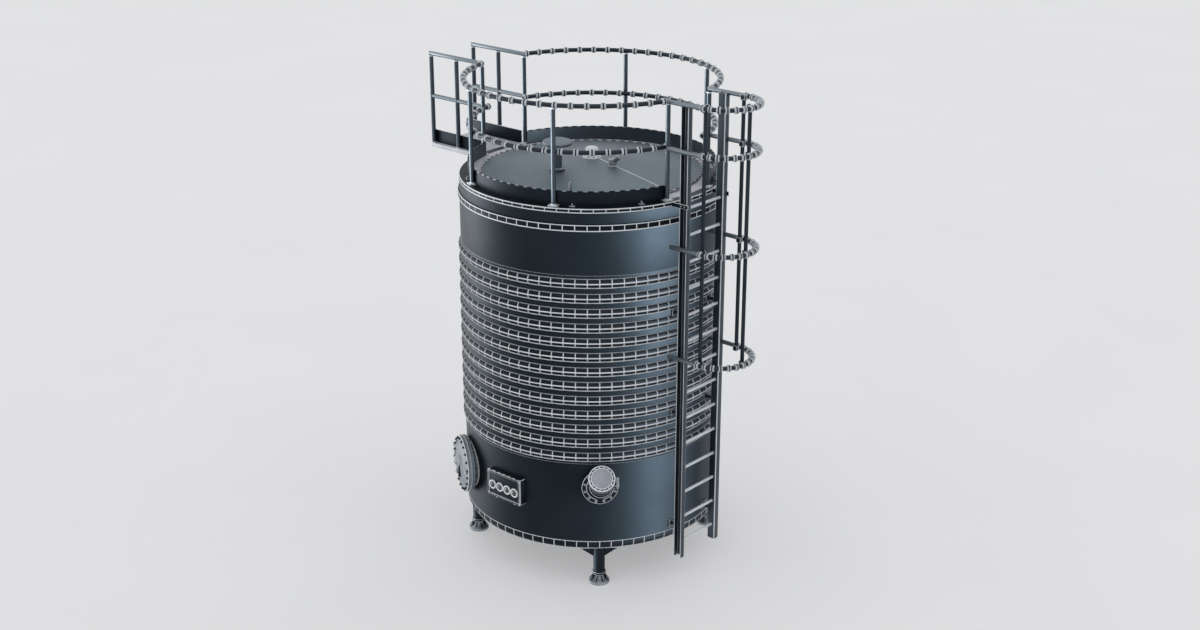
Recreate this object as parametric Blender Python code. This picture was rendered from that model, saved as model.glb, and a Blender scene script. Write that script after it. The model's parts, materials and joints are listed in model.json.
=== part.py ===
# Mixing tank on four feet, with a ring platform, a caged ladder and a short access bridge.
# Metres, +Z up. The tank's axis is vertical; azimuth 0 looks at the front (-Y), 90 at the ladder (+X).
# Running this file clears the scene and leaves one object per sub-part.

import math

import bmesh
import bpy
from mathutils import Matrix, Vector

# Driving dimensions, in metres.
touch_gap = 0.0003
tank_sides = 48
shell_radius = 1.476
shell_wall = 0.012
straight_bottom_z = 0.52
knuckle_radius = 0.07
bottom_flat_inner_radius = 1.25
bottom_centre_z = 0.41
jacket_bottom_z = 1.51
jacket_top_z = 3.68
hoop_count = 13
hoop_first_z = 1.592
hoop_pitch = 0.167
hoop_height = 0.10
hoop_depth = 0.026
hoop_chamfer = 0.022
flange_bottom_z = 4.167
flange_top_z = 4.24
flange_radius = 1.492
flange_depth = 0.07
deck_bottom_z = 4.36
deck_top_z = 4.41
deck_plate = 0.012
roof_radius = 1.2286
roof_edge_z = 4.433
roof_skirt_z = 4.3723
roof_plate = 0.008
cap_seat_radius = 0.12
cap_seat_z = 4.566
rail_radius = 0.024
post_radius = 0.025
guard_radius = 1.40
top_rail_z = 5.472
mid_rail_z = 4.975
toe_top_z = 4.57
toe_plate = 0.010
post_azimuths = (25.5, 76.0)
stile_inner_y = 0.27
stile_outer_y = 0.34
stile_near_x = 1.53
stile_far_x = 1.63
stile_plate = 0.008
stile_bottom_z = 0.27
rung_count = 14
rung_first_z = 0.45
rung_pitch = 0.30
rung_radius = 0.015
cage_loop_zs = (2.6775, 3.92)
cage_centre_x = 1.83
cage_bar_radius = 0.021
bracket_zs = (0.65, 2.01, 3.1785)
leg_circle = 1.364
leg_radius = 0.065
leg_azimuths = (45.0, 135.0, 225.0, 315.0)
foot_radius = 0.1175
manway_azimuth = -30.0
manway_z = 1.05
manway_plate_sweep = 45.0
manway_bore = 0.262
manway_neck_radius = 0.27
manway_flange_radius = 0.33
manway_flange_depth = 0.038
manway_face = 1.55
gasket_gap = 0.005
door_plate = 0.035
hinge_y = -0.38
hinge_x = 1.5725
pin_radius = 0.010
mixer_azimuth = 45.0
mixer_z = 1.25
mixer_pitch = 42.0
box_x = 0.045
box_z = 1.08
box_width = 0.50
box_height = 0.305
box_front = 1.536
bezel_depth = 0.012
bezel_radius = 0.053
bezel_pitch = 0.112
bezel_drop = 0.015

# The rail loops pass just outside the ladder's stiles.
loop_y = stile_outer_y + touch_gap + rail_radius
cage_reach = cage_centre_x + loop_y + rail_radius
bridge_end = cage_reach
axis_y = (box_front + bezel_depth - shell_radius - hoop_depth) / 2


def clear_scene():
    for thing in list(bpy.data.objects):
        bpy.data.objects.remove(thing, do_unlink=True)


def make_material(name, colour, roughness, metallic):
    material = bpy.data.materials.new(name)
    material.use_nodes = True
    shader = material.node_tree.nodes["Principled BSDF"]
    shader.inputs["Base Color"].default_value = (*colour, 1.0)
    shader.inputs["Roughness"].default_value = roughness
    shader.inputs["Metallic"].default_value = metallic
    material.diffuse_color = (*colour, 1.0)
    return material


def add_object(name, builder, look, parent, smooth=False):
    mesh = bpy.data.meshes.new(name)
    bmesh.ops.recalc_face_normals(builder, faces=builder.faces)
    builder.to_mesh(mesh)
    builder.free()
    for face in mesh.polygons:
        face.use_smooth = smooth
    if look is not None:
        mesh.materials.append(make_material(name, *look))
    thing = bpy.data.objects.new(name, mesh)
    bpy.context.collection.objects.link(thing)
    thing.parent = parent
    return thing


def add_cutter(name, builder, parent):
    thing = add_object(name, builder, None, parent)
    thing.hide_render = True
    thing.display_type = "WIRE"
    return thing


def add_boolean(thing, operation, tool):
    change = thing.modifiers.new(operation.lower() + "_" + tool.name, "BOOLEAN")
    change.operation = operation
    change.solver = "EXACT"
    change.object = tool


def add_revolved(builder, outline, sides, start=0.0, sweep=360.0):
    """Turn a closed outline of (radius, height) points about Z and close it."""
    full = abs(sweep) >= 360.0
    steps = sides if full else sides + 1
    rings = []
    for step in range(steps):
        angle = math.radians(start + sweep * step / sides)
        ring = []
        for radius, height in outline:
            if radius < 1e-6 and step > 0 and full:
                ring.append(rings[0][len(ring)])
            else:
                ring.append(builder.verts.new((radius * math.sin(angle), -radius * math.cos(angle), height)))
        rings.append(ring)
    count = len(outline)
    for step in range(sides):
        near = rings[step]
        far = rings[(step + 1) % steps]
        for index in range(count):
            after = (index + 1) % count
            corners = []
            for vertex in (near[index], far[index], far[after], near[after]):
                if vertex not in corners:
                    corners.append(vertex)
            if len(corners) > 2:
                builder.faces.new(corners)
    if not full:
        builder.faces.new(rings[0])
        builder.faces.new(list(reversed(rings[-1])))


def add_prism(builder, outline, depth, place=None):
    """Extrude a closed outline of (x, y) points along Z by depth."""
    place = place or Matrix.Identity(4)
    low = [builder.verts.new(place @ Vector((x, y, 0.0))) for x, y in outline]
    high = [builder.verts.new(place @ Vector((x, y, depth))) for x, y in outline]
    builder.faces.new(list(reversed(low)))
    builder.faces.new(high)
    for index in range(len(outline)):
        after = (index + 1) % len(outline)
        builder.faces.new((low[index], low[after], high[after], high[index]))


def add_box(builder, low, high):
    size = [high[axis] - low[axis] for axis in range(3)]
    middle = [(high[axis] + low[axis]) / 2 for axis in range(3)]
    place = Matrix.Translation(middle) @ Matrix.Diagonal((*size, 1.0))
    bmesh.ops.create_cube(builder, size=1.0, matrix=place)


def add_rod(builder, start, end, radius, sides):
    start = Vector(start)
    end = Vector(end)
    along = end - start
    turn = along.to_track_quat("Z", "Y").to_matrix().to_4x4()
    place = Matrix.Translation((start + end) / 2) @ turn
    bmesh.ops.create_cone(builder, cap_ends=True, segments=sides, radius1=radius, radius2=radius,
                          depth=along.length, matrix=place)


def on_tank(azimuth, radius, height):
    angle = math.radians(azimuth)
    return Vector((radius * math.sin(angle), -radius * math.cos(angle), height))


def outward_frame(azimuth, height):
    """A frame on the tank's axis whose +X points outward at the azimuth."""
    return Matrix.Translation((0, 0, height)) @ Matrix.Rotation(math.radians(azimuth - 90), 4, "Z")


def add_rail(name, points, look, parent, radius=rail_radius):
    """A round rail as a bevelled curve along its centre line."""
    curve = bpy.data.curves.new(name, "CURVE")
    curve.dimensions = "3D"
    curve.bevel_depth = radius
    curve.bevel_resolution = 2
    curve.use_fill_caps = True
    spline = curve.splines.new("POLY")
    spline.points.add(len(points) - 1)
    for place, point in zip(spline.points, points):
        place.co = (*point, 1.0)
    spline.use_smooth = True
    curve.materials.append(make_material(name, *look))
    thing = bpy.data.objects.new(name, curve)
    bpy.context.collection.objects.link(thing)
    thing.parent = parent
    return thing


def shell_cutter(parent, radius, name):
    builder = bmesh.new()
    add_revolved(builder, [(0, -1.0), (radius, -1.0), (radius, 6.0), (0, 6.0)], tank_sides)
    return add_cutter(name, builder, parent)


def make_bottom_head(parent):
    centre_radius = shell_radius - knuckle_radius
    flat_z = straight_bottom_z - knuckle_radius
    outline = [(0, bottom_centre_z), (bottom_flat_inner_radius, flat_z)]
    arc = [(centre_radius + knuckle_radius * math.sin(math.radians(turn)),
            straight_bottom_z - knuckle_radius * math.cos(math.radians(turn))) for turn in (0, 30, 60, 90)]
    inner_radius = knuckle_radius - shell_wall
    inner_arc = [(centre_radius + inner_radius * math.sin(math.radians(turn)),
                  straight_bottom_z - inner_radius * math.cos(math.radians(turn))) for turn in (90, 60, 30, 0)]
    outline += arc + inner_arc
    outline += [(bottom_flat_inner_radius, flat_z + shell_wall), (0, bottom_centre_z + shell_wall)]
    builder = bmesh.new()
    add_revolved(builder, outline, tank_sides)
    add_object("bottom_head", builder, slate, parent, smooth=True)


def make_course(name, low, high, parent, start=0.0, sweep=360.0):
    inner = shell_radius - shell_wall
    builder = bmesh.new()
    sides = round(tank_sides * sweep / 360.0)
    add_revolved(builder, [(inner, low), (shell_radius, low), (shell_radius, high), (inner, high)], sides,
                 start, sweep)
    return add_object(name, builder, slate, parent, smooth=True)


def make_lower_course(parent):
    """The bottom course in two rolled plates: the small one carries the manway."""
    low = straight_bottom_z + touch_gap
    seam = math.degrees(touch_gap / 2 / shell_radius)
    start = manway_azimuth - manway_plate_sweep / 2 + seam
    plate = make_course("manway_plate", low, jacket_bottom_z, parent, start, manway_plate_sweep - 2 * seam)
    start = manway_azimuth + manway_plate_sweep / 2 + seam
    make_course("lower_course", low, jacket_bottom_z, parent, start, 360.0 - manway_plate_sweep - 2 * seam)
    return plate


def make_jacket_course(parent):
    inner = shell_radius - shell_wall
    outline = [(inner, jacket_bottom_z + touch_gap), (shell_radius, jacket_bottom_z + touch_gap)]
    for index in range(hoop_count):
        middle = hoop_first_z + index * hoop_pitch
        low = middle - hoop_height / 2
        high = middle + hoop_height / 2
        outline += [(shell_radius, low), (shell_radius + hoop_depth, low + hoop_chamfer),
                    (shell_radius + hoop_depth, high - hoop_chamfer), (shell_radius, high)]
    outline += [(shell_radius, jacket_top_z), (inner, jacket_top_z)]
    builder = bmesh.new()
    add_revolved(builder, outline, tank_sides)
    add_object("jacket_course", builder, slate, parent, smooth=True)


def make_top_rings(parent):
    builder = bmesh.new()
    inner = flange_radius - flange_depth
    low = flange_bottom_z + touch_gap
    add_revolved(builder, [(inner, low), (flange_radius, low), (flange_radius, flange_top_z),
                           (inner, flange_top_z)], tank_sides)
    add_object("shell_top_flange", builder, edge_grey, parent, smooth=True)
    make_course("platform_drum", flange_top_z + touch_gap, deck_bottom_z, parent)


def make_deck(parent):
    low = deck_bottom_z + touch_gap
    roof_side = roof_radius + touch_gap
    skirt_inner = shell_radius - shell_wall
    ledge_top = roof_skirt_z - touch_gap
    outline = [(shell_radius, low), (shell_radius, deck_top_z), (roof_side, deck_top_z),
               (roof_side, ledge_top), (roof_side - 0.04, ledge_top), (roof_side - 0.04, low),
               (roof_side + deck_plate, low), (roof_side + deck_plate, deck_top_z - deck_plate),
               (skirt_inner, deck_top_z - deck_plate), (skirt_inner, low)]
    builder = bmesh.new()
    add_revolved(builder, outline, tank_sides)
    add_object("deck_ring", builder, deck_grey, parent, smooth=True)


def make_roof(parent):
    outline = [(roof_radius, roof_skirt_z), (roof_radius, roof_edge_z), (cap_seat_radius, cap_seat_z),
               (0, cap_seat_z), (0, cap_seat_z - roof_plate), (cap_seat_radius, cap_seat_z - roof_plate),
               (roof_radius - shell_wall, roof_edge_z - roof_plate), (roof_radius - shell_wall, roof_skirt_z)]
    builder = bmesh.new()
    add_revolved(builder, outline, tank_sides)
    add_object("roof_cone", builder, roof_grey, parent, smooth=True)


def roof_cutter(parent):
    """The space that the roof takes up, with the seat gap, for pieces that stand on its slope."""
    builder = bmesh.new()
    add_revolved(builder, [(0, 4.0), (roof_radius, 4.0), (roof_radius, roof_edge_z + touch_gap),
                           (cap_seat_radius, cap_seat_z + touch_gap), (0, cap_seat_z + touch_gap)], tank_sides)
    return add_cutter("cutter_roof", builder, parent)


def make_roof_fittings(parent):
    cutter = roof_cutter(parent)
    builder = bmesh.new()
    low = cap_seat_z + touch_gap
    add_revolved(builder, [(0, low), (0.095, low), (0.095, low + 0.012), (0.075, low + 0.012),
                           (0.075, low + 0.10), (0.055, low + 0.118), (0, low + 0.118)], 16)
    add_object("centre_cap", builder, edge_grey, parent, smooth=True)

    vent_place = Matrix.Translation((-0.03, -0.53, 0))
    builder = bmesh.new()
    add_revolved(builder, [(0, 4.46), (0.105, 4.46), (0.105, 4.545), (0.055, 4.545), (0.055, 4.80), (0, 4.80)], 16)
    bmesh.ops.transform(builder, matrix=vent_place, verts=builder.verts)
    pipe = add_object("vent_pipe", builder, slate, parent, smooth=True)
    add_boolean(pipe, "DIFFERENCE", cutter)
    builder = bmesh.new()
    low = 4.80 + touch_gap
    add_revolved(builder, [(0, low), (0.16, low), (0.16, low + 0.045), (0.13, low + 0.06), (0, low + 0.06)], 24)
    bmesh.ops.transform(builder, matrix=vent_place, verts=builder.verts)
    add_object("vent_hood", builder, edge_grey, parent, smooth=True)

    builder = bmesh.new()
    add_rod(builder, (0.35, -0.05, 4.45), (0.35, -0.05, 4.62), 0.045, 12)
    fitting = add_object("roof_inlet", builder, edge_grey, parent, smooth=True)
    builder = bmesh.new()
    add_rod(builder, (0.345, -0.05, 4.585), (0.46, -0.05, 4.665), 0.036, 12)
    spout = add_cutter("join_inlet_spout", builder, parent)
    add_boolean(fitting, "UNION", spout)
    add_boolean(fitting, "DIFFERENCE", cutter)

    builder = bmesh.new()
    outline = [(-0.07, -0.1), (0.07, -0.1), (0.07, 0.02), (0.035, 0.10), (-0.035, 0.10), (-0.07, 0.02)]
    lug_place = outward_frame(29.0, 4.47) @ Matrix.Translation((1.03, 0.006, 0)) @ Matrix.Rotation(math.pi / 2, 4, "X")
    add_prism(builder, outline, 0.012, lug_place)
    lug = add_object("roof_lifting_lug", builder, edge_grey, parent)
    add_boolean(lug, "DIFFERENCE", cutter)


def arc_points(radius, start, end, steps, height):
    points = []
    for step in range(steps + 1):
        azimuth = start + (end - start) * step / steps
        points.append(tuple(on_tank(azimuth, radius, height)))
    return points


def make_guard_rails(parent):
    # The top rail's arcs stop just short of the straight rails at the ladder and at the bridge.
    inner_edge = guard_radius - rail_radius
    ladder_stop = math.degrees(math.acos((loop_y + rail_radius + touch_gap) / inner_edge))
    bridge_y = guard_radius * math.cos(math.radians(post_azimuths[1]))
    bridge_stop = math.degrees(math.acos((bridge_y + rail_radius + touch_gap) / inner_edge))
    mid_radius = guard_radius - post_radius - rail_radius - touch_gap
    outer = guard_radius - post_radius - touch_gap
    toe_stop = math.degrees(math.acos(stile_outer_y / outer))
    low = deck_top_z + touch_gap
    for side, turn, stops in (("front", 0.0, (-bridge_stop, ladder_stop)),
                              ("back", 180.0, (-ladder_stop, bridge_stop))):
        points = arc_points(guard_radius, turn + stops[0], turn + stops[1], 24, top_rail_z)
        add_rail("top_rail_" + side, points, rail_grey, parent)
        mid_stop = post_azimuths[1] + 1.0
        points = arc_points(mid_radius, turn - mid_stop, turn + mid_stop, 24, mid_rail_z)
        add_rail("mid_rail_" + side, points, rail_grey, parent)
        builder = bmesh.new()
        add_revolved(builder, [(outer - toe_plate, low), (outer, low), (outer, toe_top_z),
                               (outer - toe_plate, toe_top_z)], 22, turn - toe_stop, 2 * toe_stop)
        add_object("toe_board_" + side, builder, slate, parent, smooth=True)


def make_posts(parent):
    low = deck_top_z + touch_gap
    high = top_rail_z - rail_radius - touch_gap
    names = {-76.0: "front_bridge", -25.5: "front_left", 25.5: "front_right", 76.0: "front_ladder"}
    for turn, side in ((0.0, "front"), (180.0, "back")):
        for offset, label in names.items():
            azimuth = turn + (offset if side == "front" else -offset)
            builder = bmesh.new()
            add_rod(builder, (guard_radius, 0, low), (guard_radius, 0, high), post_radius, 12)
            bmesh.ops.transform(builder, matrix=outward_frame(azimuth, 0), verts=builder.verts)
            add_object("post_" + label.replace("front", side), builder, rail_grey, parent, smooth=True)


def loop_points(start_x, height):
    points = [(start_x, -loop_y, height), (cage_centre_x, -loop_y, height)]
    steps = 12
    for step in range(1, steps):
        angle = math.radians(-90 + 180 * step / steps)
        points.append((cage_centre_x + loop_y * math.cos(angle), loop_y * math.sin(angle), height))
    points += [(cage_centre_x, loop_y, height), (start_x, loop_y, height)]
    return points


def make_cage(parent):
    shell_x = math.sqrt(shell_radius ** 2 - (loop_y - rail_radius) ** 2) + 0.0008
    corner = on_tank(post_azimuths[1], guard_radius, 0)
    starts = {"cage_loop_low": (shell_x, cage_loop_zs[0]),
              "cage_loop_high": (shell_x, cage_loop_zs[1]),
              "cage_loop_mid_rail": (corner.x + post_radius + touch_gap, mid_rail_z),
              "cage_loop_top_rail": (corner.x - 0.02, top_rail_z)}
    for name, (start_x, height) in starts.items():
        add_rail(name, loop_points(start_x, height), rail_grey, parent)
    # The loops turn 15 degrees at each of their points, so a bar meets the two chords beside a point.
    bar_circle = loop_y - rail_radius - (cage_bar_radius + touch_gap) / math.cos(math.radians(7.5))
    low = cage_loop_zs[0] - 0.03
    high = top_rail_z + 0.01
    for label, angle in (("front", -90.0), ("outer", 0.0), ("back", 90.0)):
        x = cage_centre_x + bar_circle * math.cos(math.radians(angle))
        y = bar_circle * math.sin(math.radians(angle))
        builder = bmesh.new()
        add_rod(builder, (x, y, low), (x, y, high), cage_bar_radius, 10)
        add_object("cage_bar_" + label, builder, rail_grey, parent, smooth=True)


def make_bridge(parent, cutter):
    first = on_tank(-post_azimuths[1], guard_radius, 0)
    post_x = first.x
    rail_y = abs(first.y)
    half_width = rail_y + post_radius
    builder = bmesh.new()
    add_box(builder, (-bridge_end, -half_width, deck_bottom_z), (-1.30, half_width, deck_top_z))
    deck = add_object("bridge_deck", builder, deck_grey, parent)
    add_boolean(deck, "DIFFERENCE", cutter)

    last = -bridge_end + post_radius
    middle = (post_x + last) / 2
    low = deck_top_z + touch_gap
    high = top_rail_z - rail_radius - touch_gap
    top_start = post_x + 0.02
    for side, sign in (("front", -1), ("back", 1)):
        y = sign * rail_y
        builder = bmesh.new()
        add_rod(builder, (last, y, low), (last, y, top_rail_z), post_radius, 10)
        rail = add_object("bridge_rail_" + side, builder, rail_grey, parent, smooth=True)
        pieces = {"post": ((middle, y, low), (middle, y, top_rail_z), post_radius),
                  "mid": ((last, y, mid_rail_z), (post_x - post_radius - touch_gap, y, mid_rail_z), rail_radius),
                  "top": ((last - post_radius, y, top_rail_z), (top_start, y, top_rail_z), rail_radius)}
        for label, (start, end, radius) in pieces.items():
            builder = bmesh.new()
            add_rod(builder, start, end, radius, 10)
            tool = add_cutter("join_bridge_" + side + "_" + label, builder, parent)
            add_boolean(rail, "UNION", tool)
        builder = bmesh.new()
        near = rail_y - post_radius + 0.004
        toe_low = (last - post_radius + 0.002, min(sign * near, sign * (near - toe_plate)), low)
        toe_high = (post_x - post_radius - touch_gap, max(sign * near, sign * (near - toe_plate)), toe_top_z)
        add_box(builder, toe_low, toe_high)
        tool = add_cutter("join_bridge_" + side + "_toe", builder, parent)
        add_boolean(rail, "UNION", tool)


def make_ladder(parent, cutter):
    top = top_rail_z + 0.01
    inner = stile_inner_y
    outer = stile_outer_y
    near = stile_near_x
    far = stile_far_x
    web = stile_plate
    channel = [(near, outer), (near, inner), (far, inner), (far, outer), (far - web, outer),
               (far - web, inner + web), (near + web, inner + web), (near + web, outer)]
    builder = bmesh.new()
    for sign in (-1, 1):
        outline = [(x, sign * y) for x, y in channel]
        if sign < 0:
            outline.reverse()
        add_prism(builder, outline, top - stile_bottom_z, Matrix.Translation((0, 0, stile_bottom_z)))
    ladder = add_object("ladder", builder, slate, parent)

    builder = bmesh.new()
    reach = inner + web / 2
    for index in range(rung_count):
        height = rung_first_z + index * rung_pitch
        middle = (near + far) / 2
        add_rod(builder, (middle, -reach, height), (middle, reach, height), rung_radius, 8)
    tool = add_cutter("join_ladder_rungs", builder, parent)
    add_boolean(ladder, "UNION", tool)

    builder = bmesh.new()
    for height in bracket_zs:
        for sign in (-1, 1):
            low_y, high_y = sorted((sign * (inner + 0.015), sign * (inner + 0.027)))
            add_box(builder, (1.40, low_y, height - 0.025), (near + web / 2, high_y, height + 0.025))
    tool = add_cutter("join_ladder_brackets", builder, parent)
    add_boolean(tool, "DIFFERENCE", cutter)
    add_boolean(ladder, "UNION", tool)

    # Flat bars at deck level run from the platform's edge past the stiles.
    for side, sign in (("front", -1), ("back", 1)):
        low_y, high_y = sorted((sign * (outer + touch_gap), sign * (outer + touch_gap + 0.010)))
        builder = bmesh.new()
        add_box(builder, (1.40, low_y, deck_bottom_z), (far + 0.02, high_y, deck_top_z))
        bar = add_object("landing_bar_" + side, builder, edge_grey, parent)
        add_boolean(bar, "DIFFERENCE", cutter)


def make_legs(parent):
    plate_top = straight_bottom_z - knuckle_radius - touch_gap
    plate_low = plate_top - 0.012
    for azimuth, label in zip(leg_azimuths, ("front_right", "back_right", "back_left", "front_left")):
        place = outward_frame(azimuth, 0)
        builder = bmesh.new()
        add_rod(builder, (leg_circle, 0, 0.13), (leg_circle, 0, plate_low + 0.006), leg_radius, 16)
        bmesh.ops.transform(builder, matrix=place, verts=builder.verts)
        leg = add_object("leg_" + label, builder, slate, parent, smooth=True)

        builder = bmesh.new()
        add_box(builder, (leg_circle - 0.08, -0.235, plate_low), (leg_circle + 0.045, 0.235, plate_top))
        bmesh.ops.transform(builder, matrix=place, verts=builder.verts)
        plate = add_cutter("join_plate_" + label, builder, parent)

        builder = bmesh.new()
        wing = [(-0.222, plate_low + 0.004), (-0.222, plate_low - 0.012), (-0.06, 0.315), (0.06, 0.315),
                (0.222, plate_low - 0.012), (0.222, plate_low + 0.004)]
        across = Matrix.Translation((leg_circle - 0.006, 0, 0)) @ Matrix(
            ((0, 0, 1, 0), (1, 0, 0, 0), (0, 1, 0, 0), (0, 0, 0, 1)))
        add_prism(builder, wing, 0.012, place @ across)
        wings = add_cutter("join_wings_" + label, builder, parent)

        builder = bmesh.new()
        add_rod(builder, (leg_circle, 0, 0.11), (leg_circle, 0, 0.135), leg_radius + 0.0125, 16)
        bmesh.ops.transform(builder, matrix=place, verts=builder.verts)
        collar = add_cutter("join_collar_" + label, builder, parent)
        for tool in (plate, wings, collar):
            add_boolean(leg, "UNION", tool)

        builder = bmesh.new()
        outline = [(0, 0), (foot_radius, 0), (foot_radius, 0.022), (foot_radius - 0.012, 0.045),
                   (foot_radius - 0.045, 0.062), (0.055, 0.075), (0.055, 0.11 - touch_gap),
                   (0, 0.11 - touch_gap)]
        add_revolved(builder, outline, 16)
        bmesh.ops.transform(builder, matrix=place @ Matrix.Translation((leg_circle, 0, 0)), verts=builder.verts)
        add_object("foot_" + label, builder, edge_grey, parent, smooth=True)


def make_manway(parent, plate):
    place = outward_frame(manway_azimuth, manway_z)
    lie_down = Matrix.Rotation(math.pi / 2, 4, "Y")
    sides = 32

    builder = bmesh.new()
    add_rod(builder, (1.2, 0, 0), (1.6, 0, 0), manway_neck_radius + touch_gap, sides)
    bmesh.ops.transform(builder, matrix=place, verts=builder.verts)
    add_boolean(plate, "DIFFERENCE", add_cutter("cutter_manway", builder, parent))

    # Outline points are (radius, distance from the tank's axis).
    back = manway_face - manway_flange_depth
    for name, radius, low, high in (("manway_neck", manway_neck_radius, 1.415, back - touch_gap),
                                    ("manway_flange", manway_flange_radius, back, manway_face)):
        builder = bmesh.new()
        add_revolved(builder, [(manway_bore, low), (radius, low), (radius, high), (manway_bore, high)], sides)
        bmesh.ops.transform(builder, matrix=place @ lie_down, verts=builder.verts)
        add_object(name, builder, slate, parent, smooth=True)

    # Two ears, their backing strip on the flange's rim and the hinge pin.
    strip_y = -(manway_flange_radius + touch_gap)
    builder = bmesh.new()
    add_box(builder, (manway_face - 0.033, strip_y - 0.012, -0.095), (manway_face - 0.003, strip_y, 0.095))
    bmesh.ops.transform(builder, matrix=place, verts=builder.verts)
    hinge = add_object("manway_hinge", builder, edge_grey, parent)
    tools = bmesh.new()
    for low, high in ((-0.09, -0.072), (0.072, 0.09)):
        add_box(tools, (manway_face - 0.028, hinge_y - 0.028, low), (hinge_x + 0.028, strip_y - 0.006, high))
    bmesh.ops.transform(tools, matrix=place, verts=tools.verts)
    add_boolean(hinge, "UNION", add_cutter("join_hinge_ears", tools, parent))
    tools = bmesh.new()
    add_rod(tools, (hinge_x, hinge_y, -0.1), (hinge_x, hinge_y, 0.1), pin_radius, 12)
    bmesh.ops.transform(tools, matrix=place, verts=tools.verts)
    add_boolean(hinge, "UNION", add_cutter("join_hinge_pin", tools, parent))

    # The door turns about the pin: its parent sits on the pin's axis.
    pivot = bpy.data.objects.new("manway_pivot", None)
    bpy.context.collection.objects.link(pivot)
    pivot.parent = parent
    pivot.matrix_local = place @ Matrix.Translation((hinge_x, hinge_y, 0))
    to_pivot = Matrix.Translation((-hinge_x, -hinge_y, 0))
    face = manway_face + gasket_gap
    back = face + door_plate
    outline = [(0, face), (manway_flange_radius, face), (manway_flange_radius, back),
               (0.25, back), (0.18, back + 0.018), (0, back + 0.025)]
    builder = bmesh.new()
    add_revolved(builder, outline, sides)
    bmesh.ops.transform(builder, matrix=to_pivot @ lie_down, verts=builder.verts)
    door = add_object("manway_door", builder, slate, pivot, smooth=True)
    tools = bmesh.new()
    add_box(tools, (face + 0.002, hinge_y - 0.016, -0.065), (back - 0.002, -0.305, 0.065))
    bmesh.ops.transform(tools, matrix=to_pivot, verts=tools.verts)
    add_boolean(door, "UNION", add_cutter("join_door_arm", tools, pivot))
    tools = bmesh.new()
    add_rod(tools, (back - 0.005, 0.27, 0), (back + 0.03, 0.27, 0), 0.012, 10)
    bmesh.ops.transform(tools, matrix=to_pivot, verts=tools.verts)
    add_boolean(door, "UNION", add_cutter("join_door_handle", tools, pivot))
    tools = bmesh.new()
    add_rod(tools, (0, 0, -0.1), (0, 0, 0.1), pin_radius + 0.0008, 12)
    add_boolean(door, "DIFFERENCE", add_cutter("cutter_door_pin", tools, pivot))


def make_mixer(parent, cutter):
    place = outward_frame(mixer_azimuth, mixer_z)
    pitch = math.radians(mixer_pitch)
    flange_face = 1.535
    along = Vector((math.cos(pitch), 0, math.sin(pitch)))
    start = Vector((flange_face - 0.03, 0, -0.06))

    builder = bmesh.new()
    add_rod(builder, (1.42, 0, 0), (flange_face, 0, 0), 0.20, 24)
    bmesh.ops.transform(builder, matrix=place, verts=builder.verts)
    flange = add_object("mixer_wall_flange", builder, edge_grey, parent, smooth=True)
    add_boolean(flange, "DIFFERENCE", cutter)

    builder = bmesh.new()
    add_rod(builder, start - along * 0.05, start + along * 0.20, 0.088, 16)
    bmesh.ops.transform(builder, matrix=place, verts=builder.verts)
    lantern = add_object("mixer_lantern", builder, slate, parent, smooth=True)
    tools = bmesh.new()
    add_rod(tools, start + along * 0.175, start + along * 0.20, 0.125, 16)
    bmesh.ops.transform(tools, matrix=place, verts=tools.verts)
    add_boolean(lantern, "UNION", add_cutter("join_lantern_flange", tools, parent))
    tools = bmesh.new()
    add_box(tools, (1.2, -0.3, -0.3), (flange_face + touch_gap, 0.3, 0.3))
    bmesh.ops.transform(tools, matrix=place, verts=tools.verts)
    add_boolean(lantern, "DIFFERENCE", add_cutter("cutter_lantern", tools, parent))

    motor_start = start + along * (0.20 + touch_gap)
    motor_end = start + along * 0.42
    builder = bmesh.new()
    add_rod(builder, motor_start, motor_end, 0.105, 16)
    bmesh.ops.transform(builder, matrix=place, verts=builder.verts)
    add_object("mixer_motor", builder, slate, parent, smooth=True)

    builder = bmesh.new()
    add_rod(builder, motor_end + along * touch_gap, start + along * 0.52, 0.145, 24)
    bmesh.ops.transform(builder, matrix=place, verts=builder.verts)
    add_object("mixer_fan_cowl", builder, edge_grey, parent, smooth=True)

    builder = bmesh.new()
    turn = Matrix.Translation(start) @ Matrix.Rotation(-pitch, 4, "Y")
    add_box(builder, (0.26, 0.105 + touch_gap, -0.05), (0.38, 0.19, 0.05))
    bmesh.ops.transform(builder, matrix=place @ turn, verts=builder.verts)
    add_object("mixer_terminal_box", builder, slate, parent)


def make_control_box(parent, cutter):
    builder = bmesh.new()
    low = Vector((box_x - box_width / 2, -box_front, box_z - box_height / 2))
    add_box(builder, low, low + Vector((box_width, box_front - 1.44, box_height)))
    box = add_object("control_box", builder, slate, parent)
    add_boolean(box, "DIFFERENCE", cutter)
    builder = bmesh.new()
    for index in range(4):
        front = Vector((box_x + (index - 1.5) * bezel_pitch, -box_front - bezel_depth, box_z - bezel_drop))
        add_rod(builder, front, front + Vector((0, bezel_depth + 0.01, 0)), bezel_radius, 16)
    add_boolean(box, "UNION", add_cutter("join_box_bezels", builder, parent))


# Colour, roughness and metallic value of each kind of surface.
slate = ((0.085, 0.105, 0.125), 0.42, 0.55)
roof_grey = ((0.20, 0.23, 0.26), 0.45, 0.45)
deck_grey = ((0.38, 0.39, 0.43), 0.60, 0.20)
edge_grey = ((0.34, 0.37, 0.39), 0.38, 0.60)
rail_grey = ((0.22, 0.25, 0.28), 0.40, 0.60)


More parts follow.
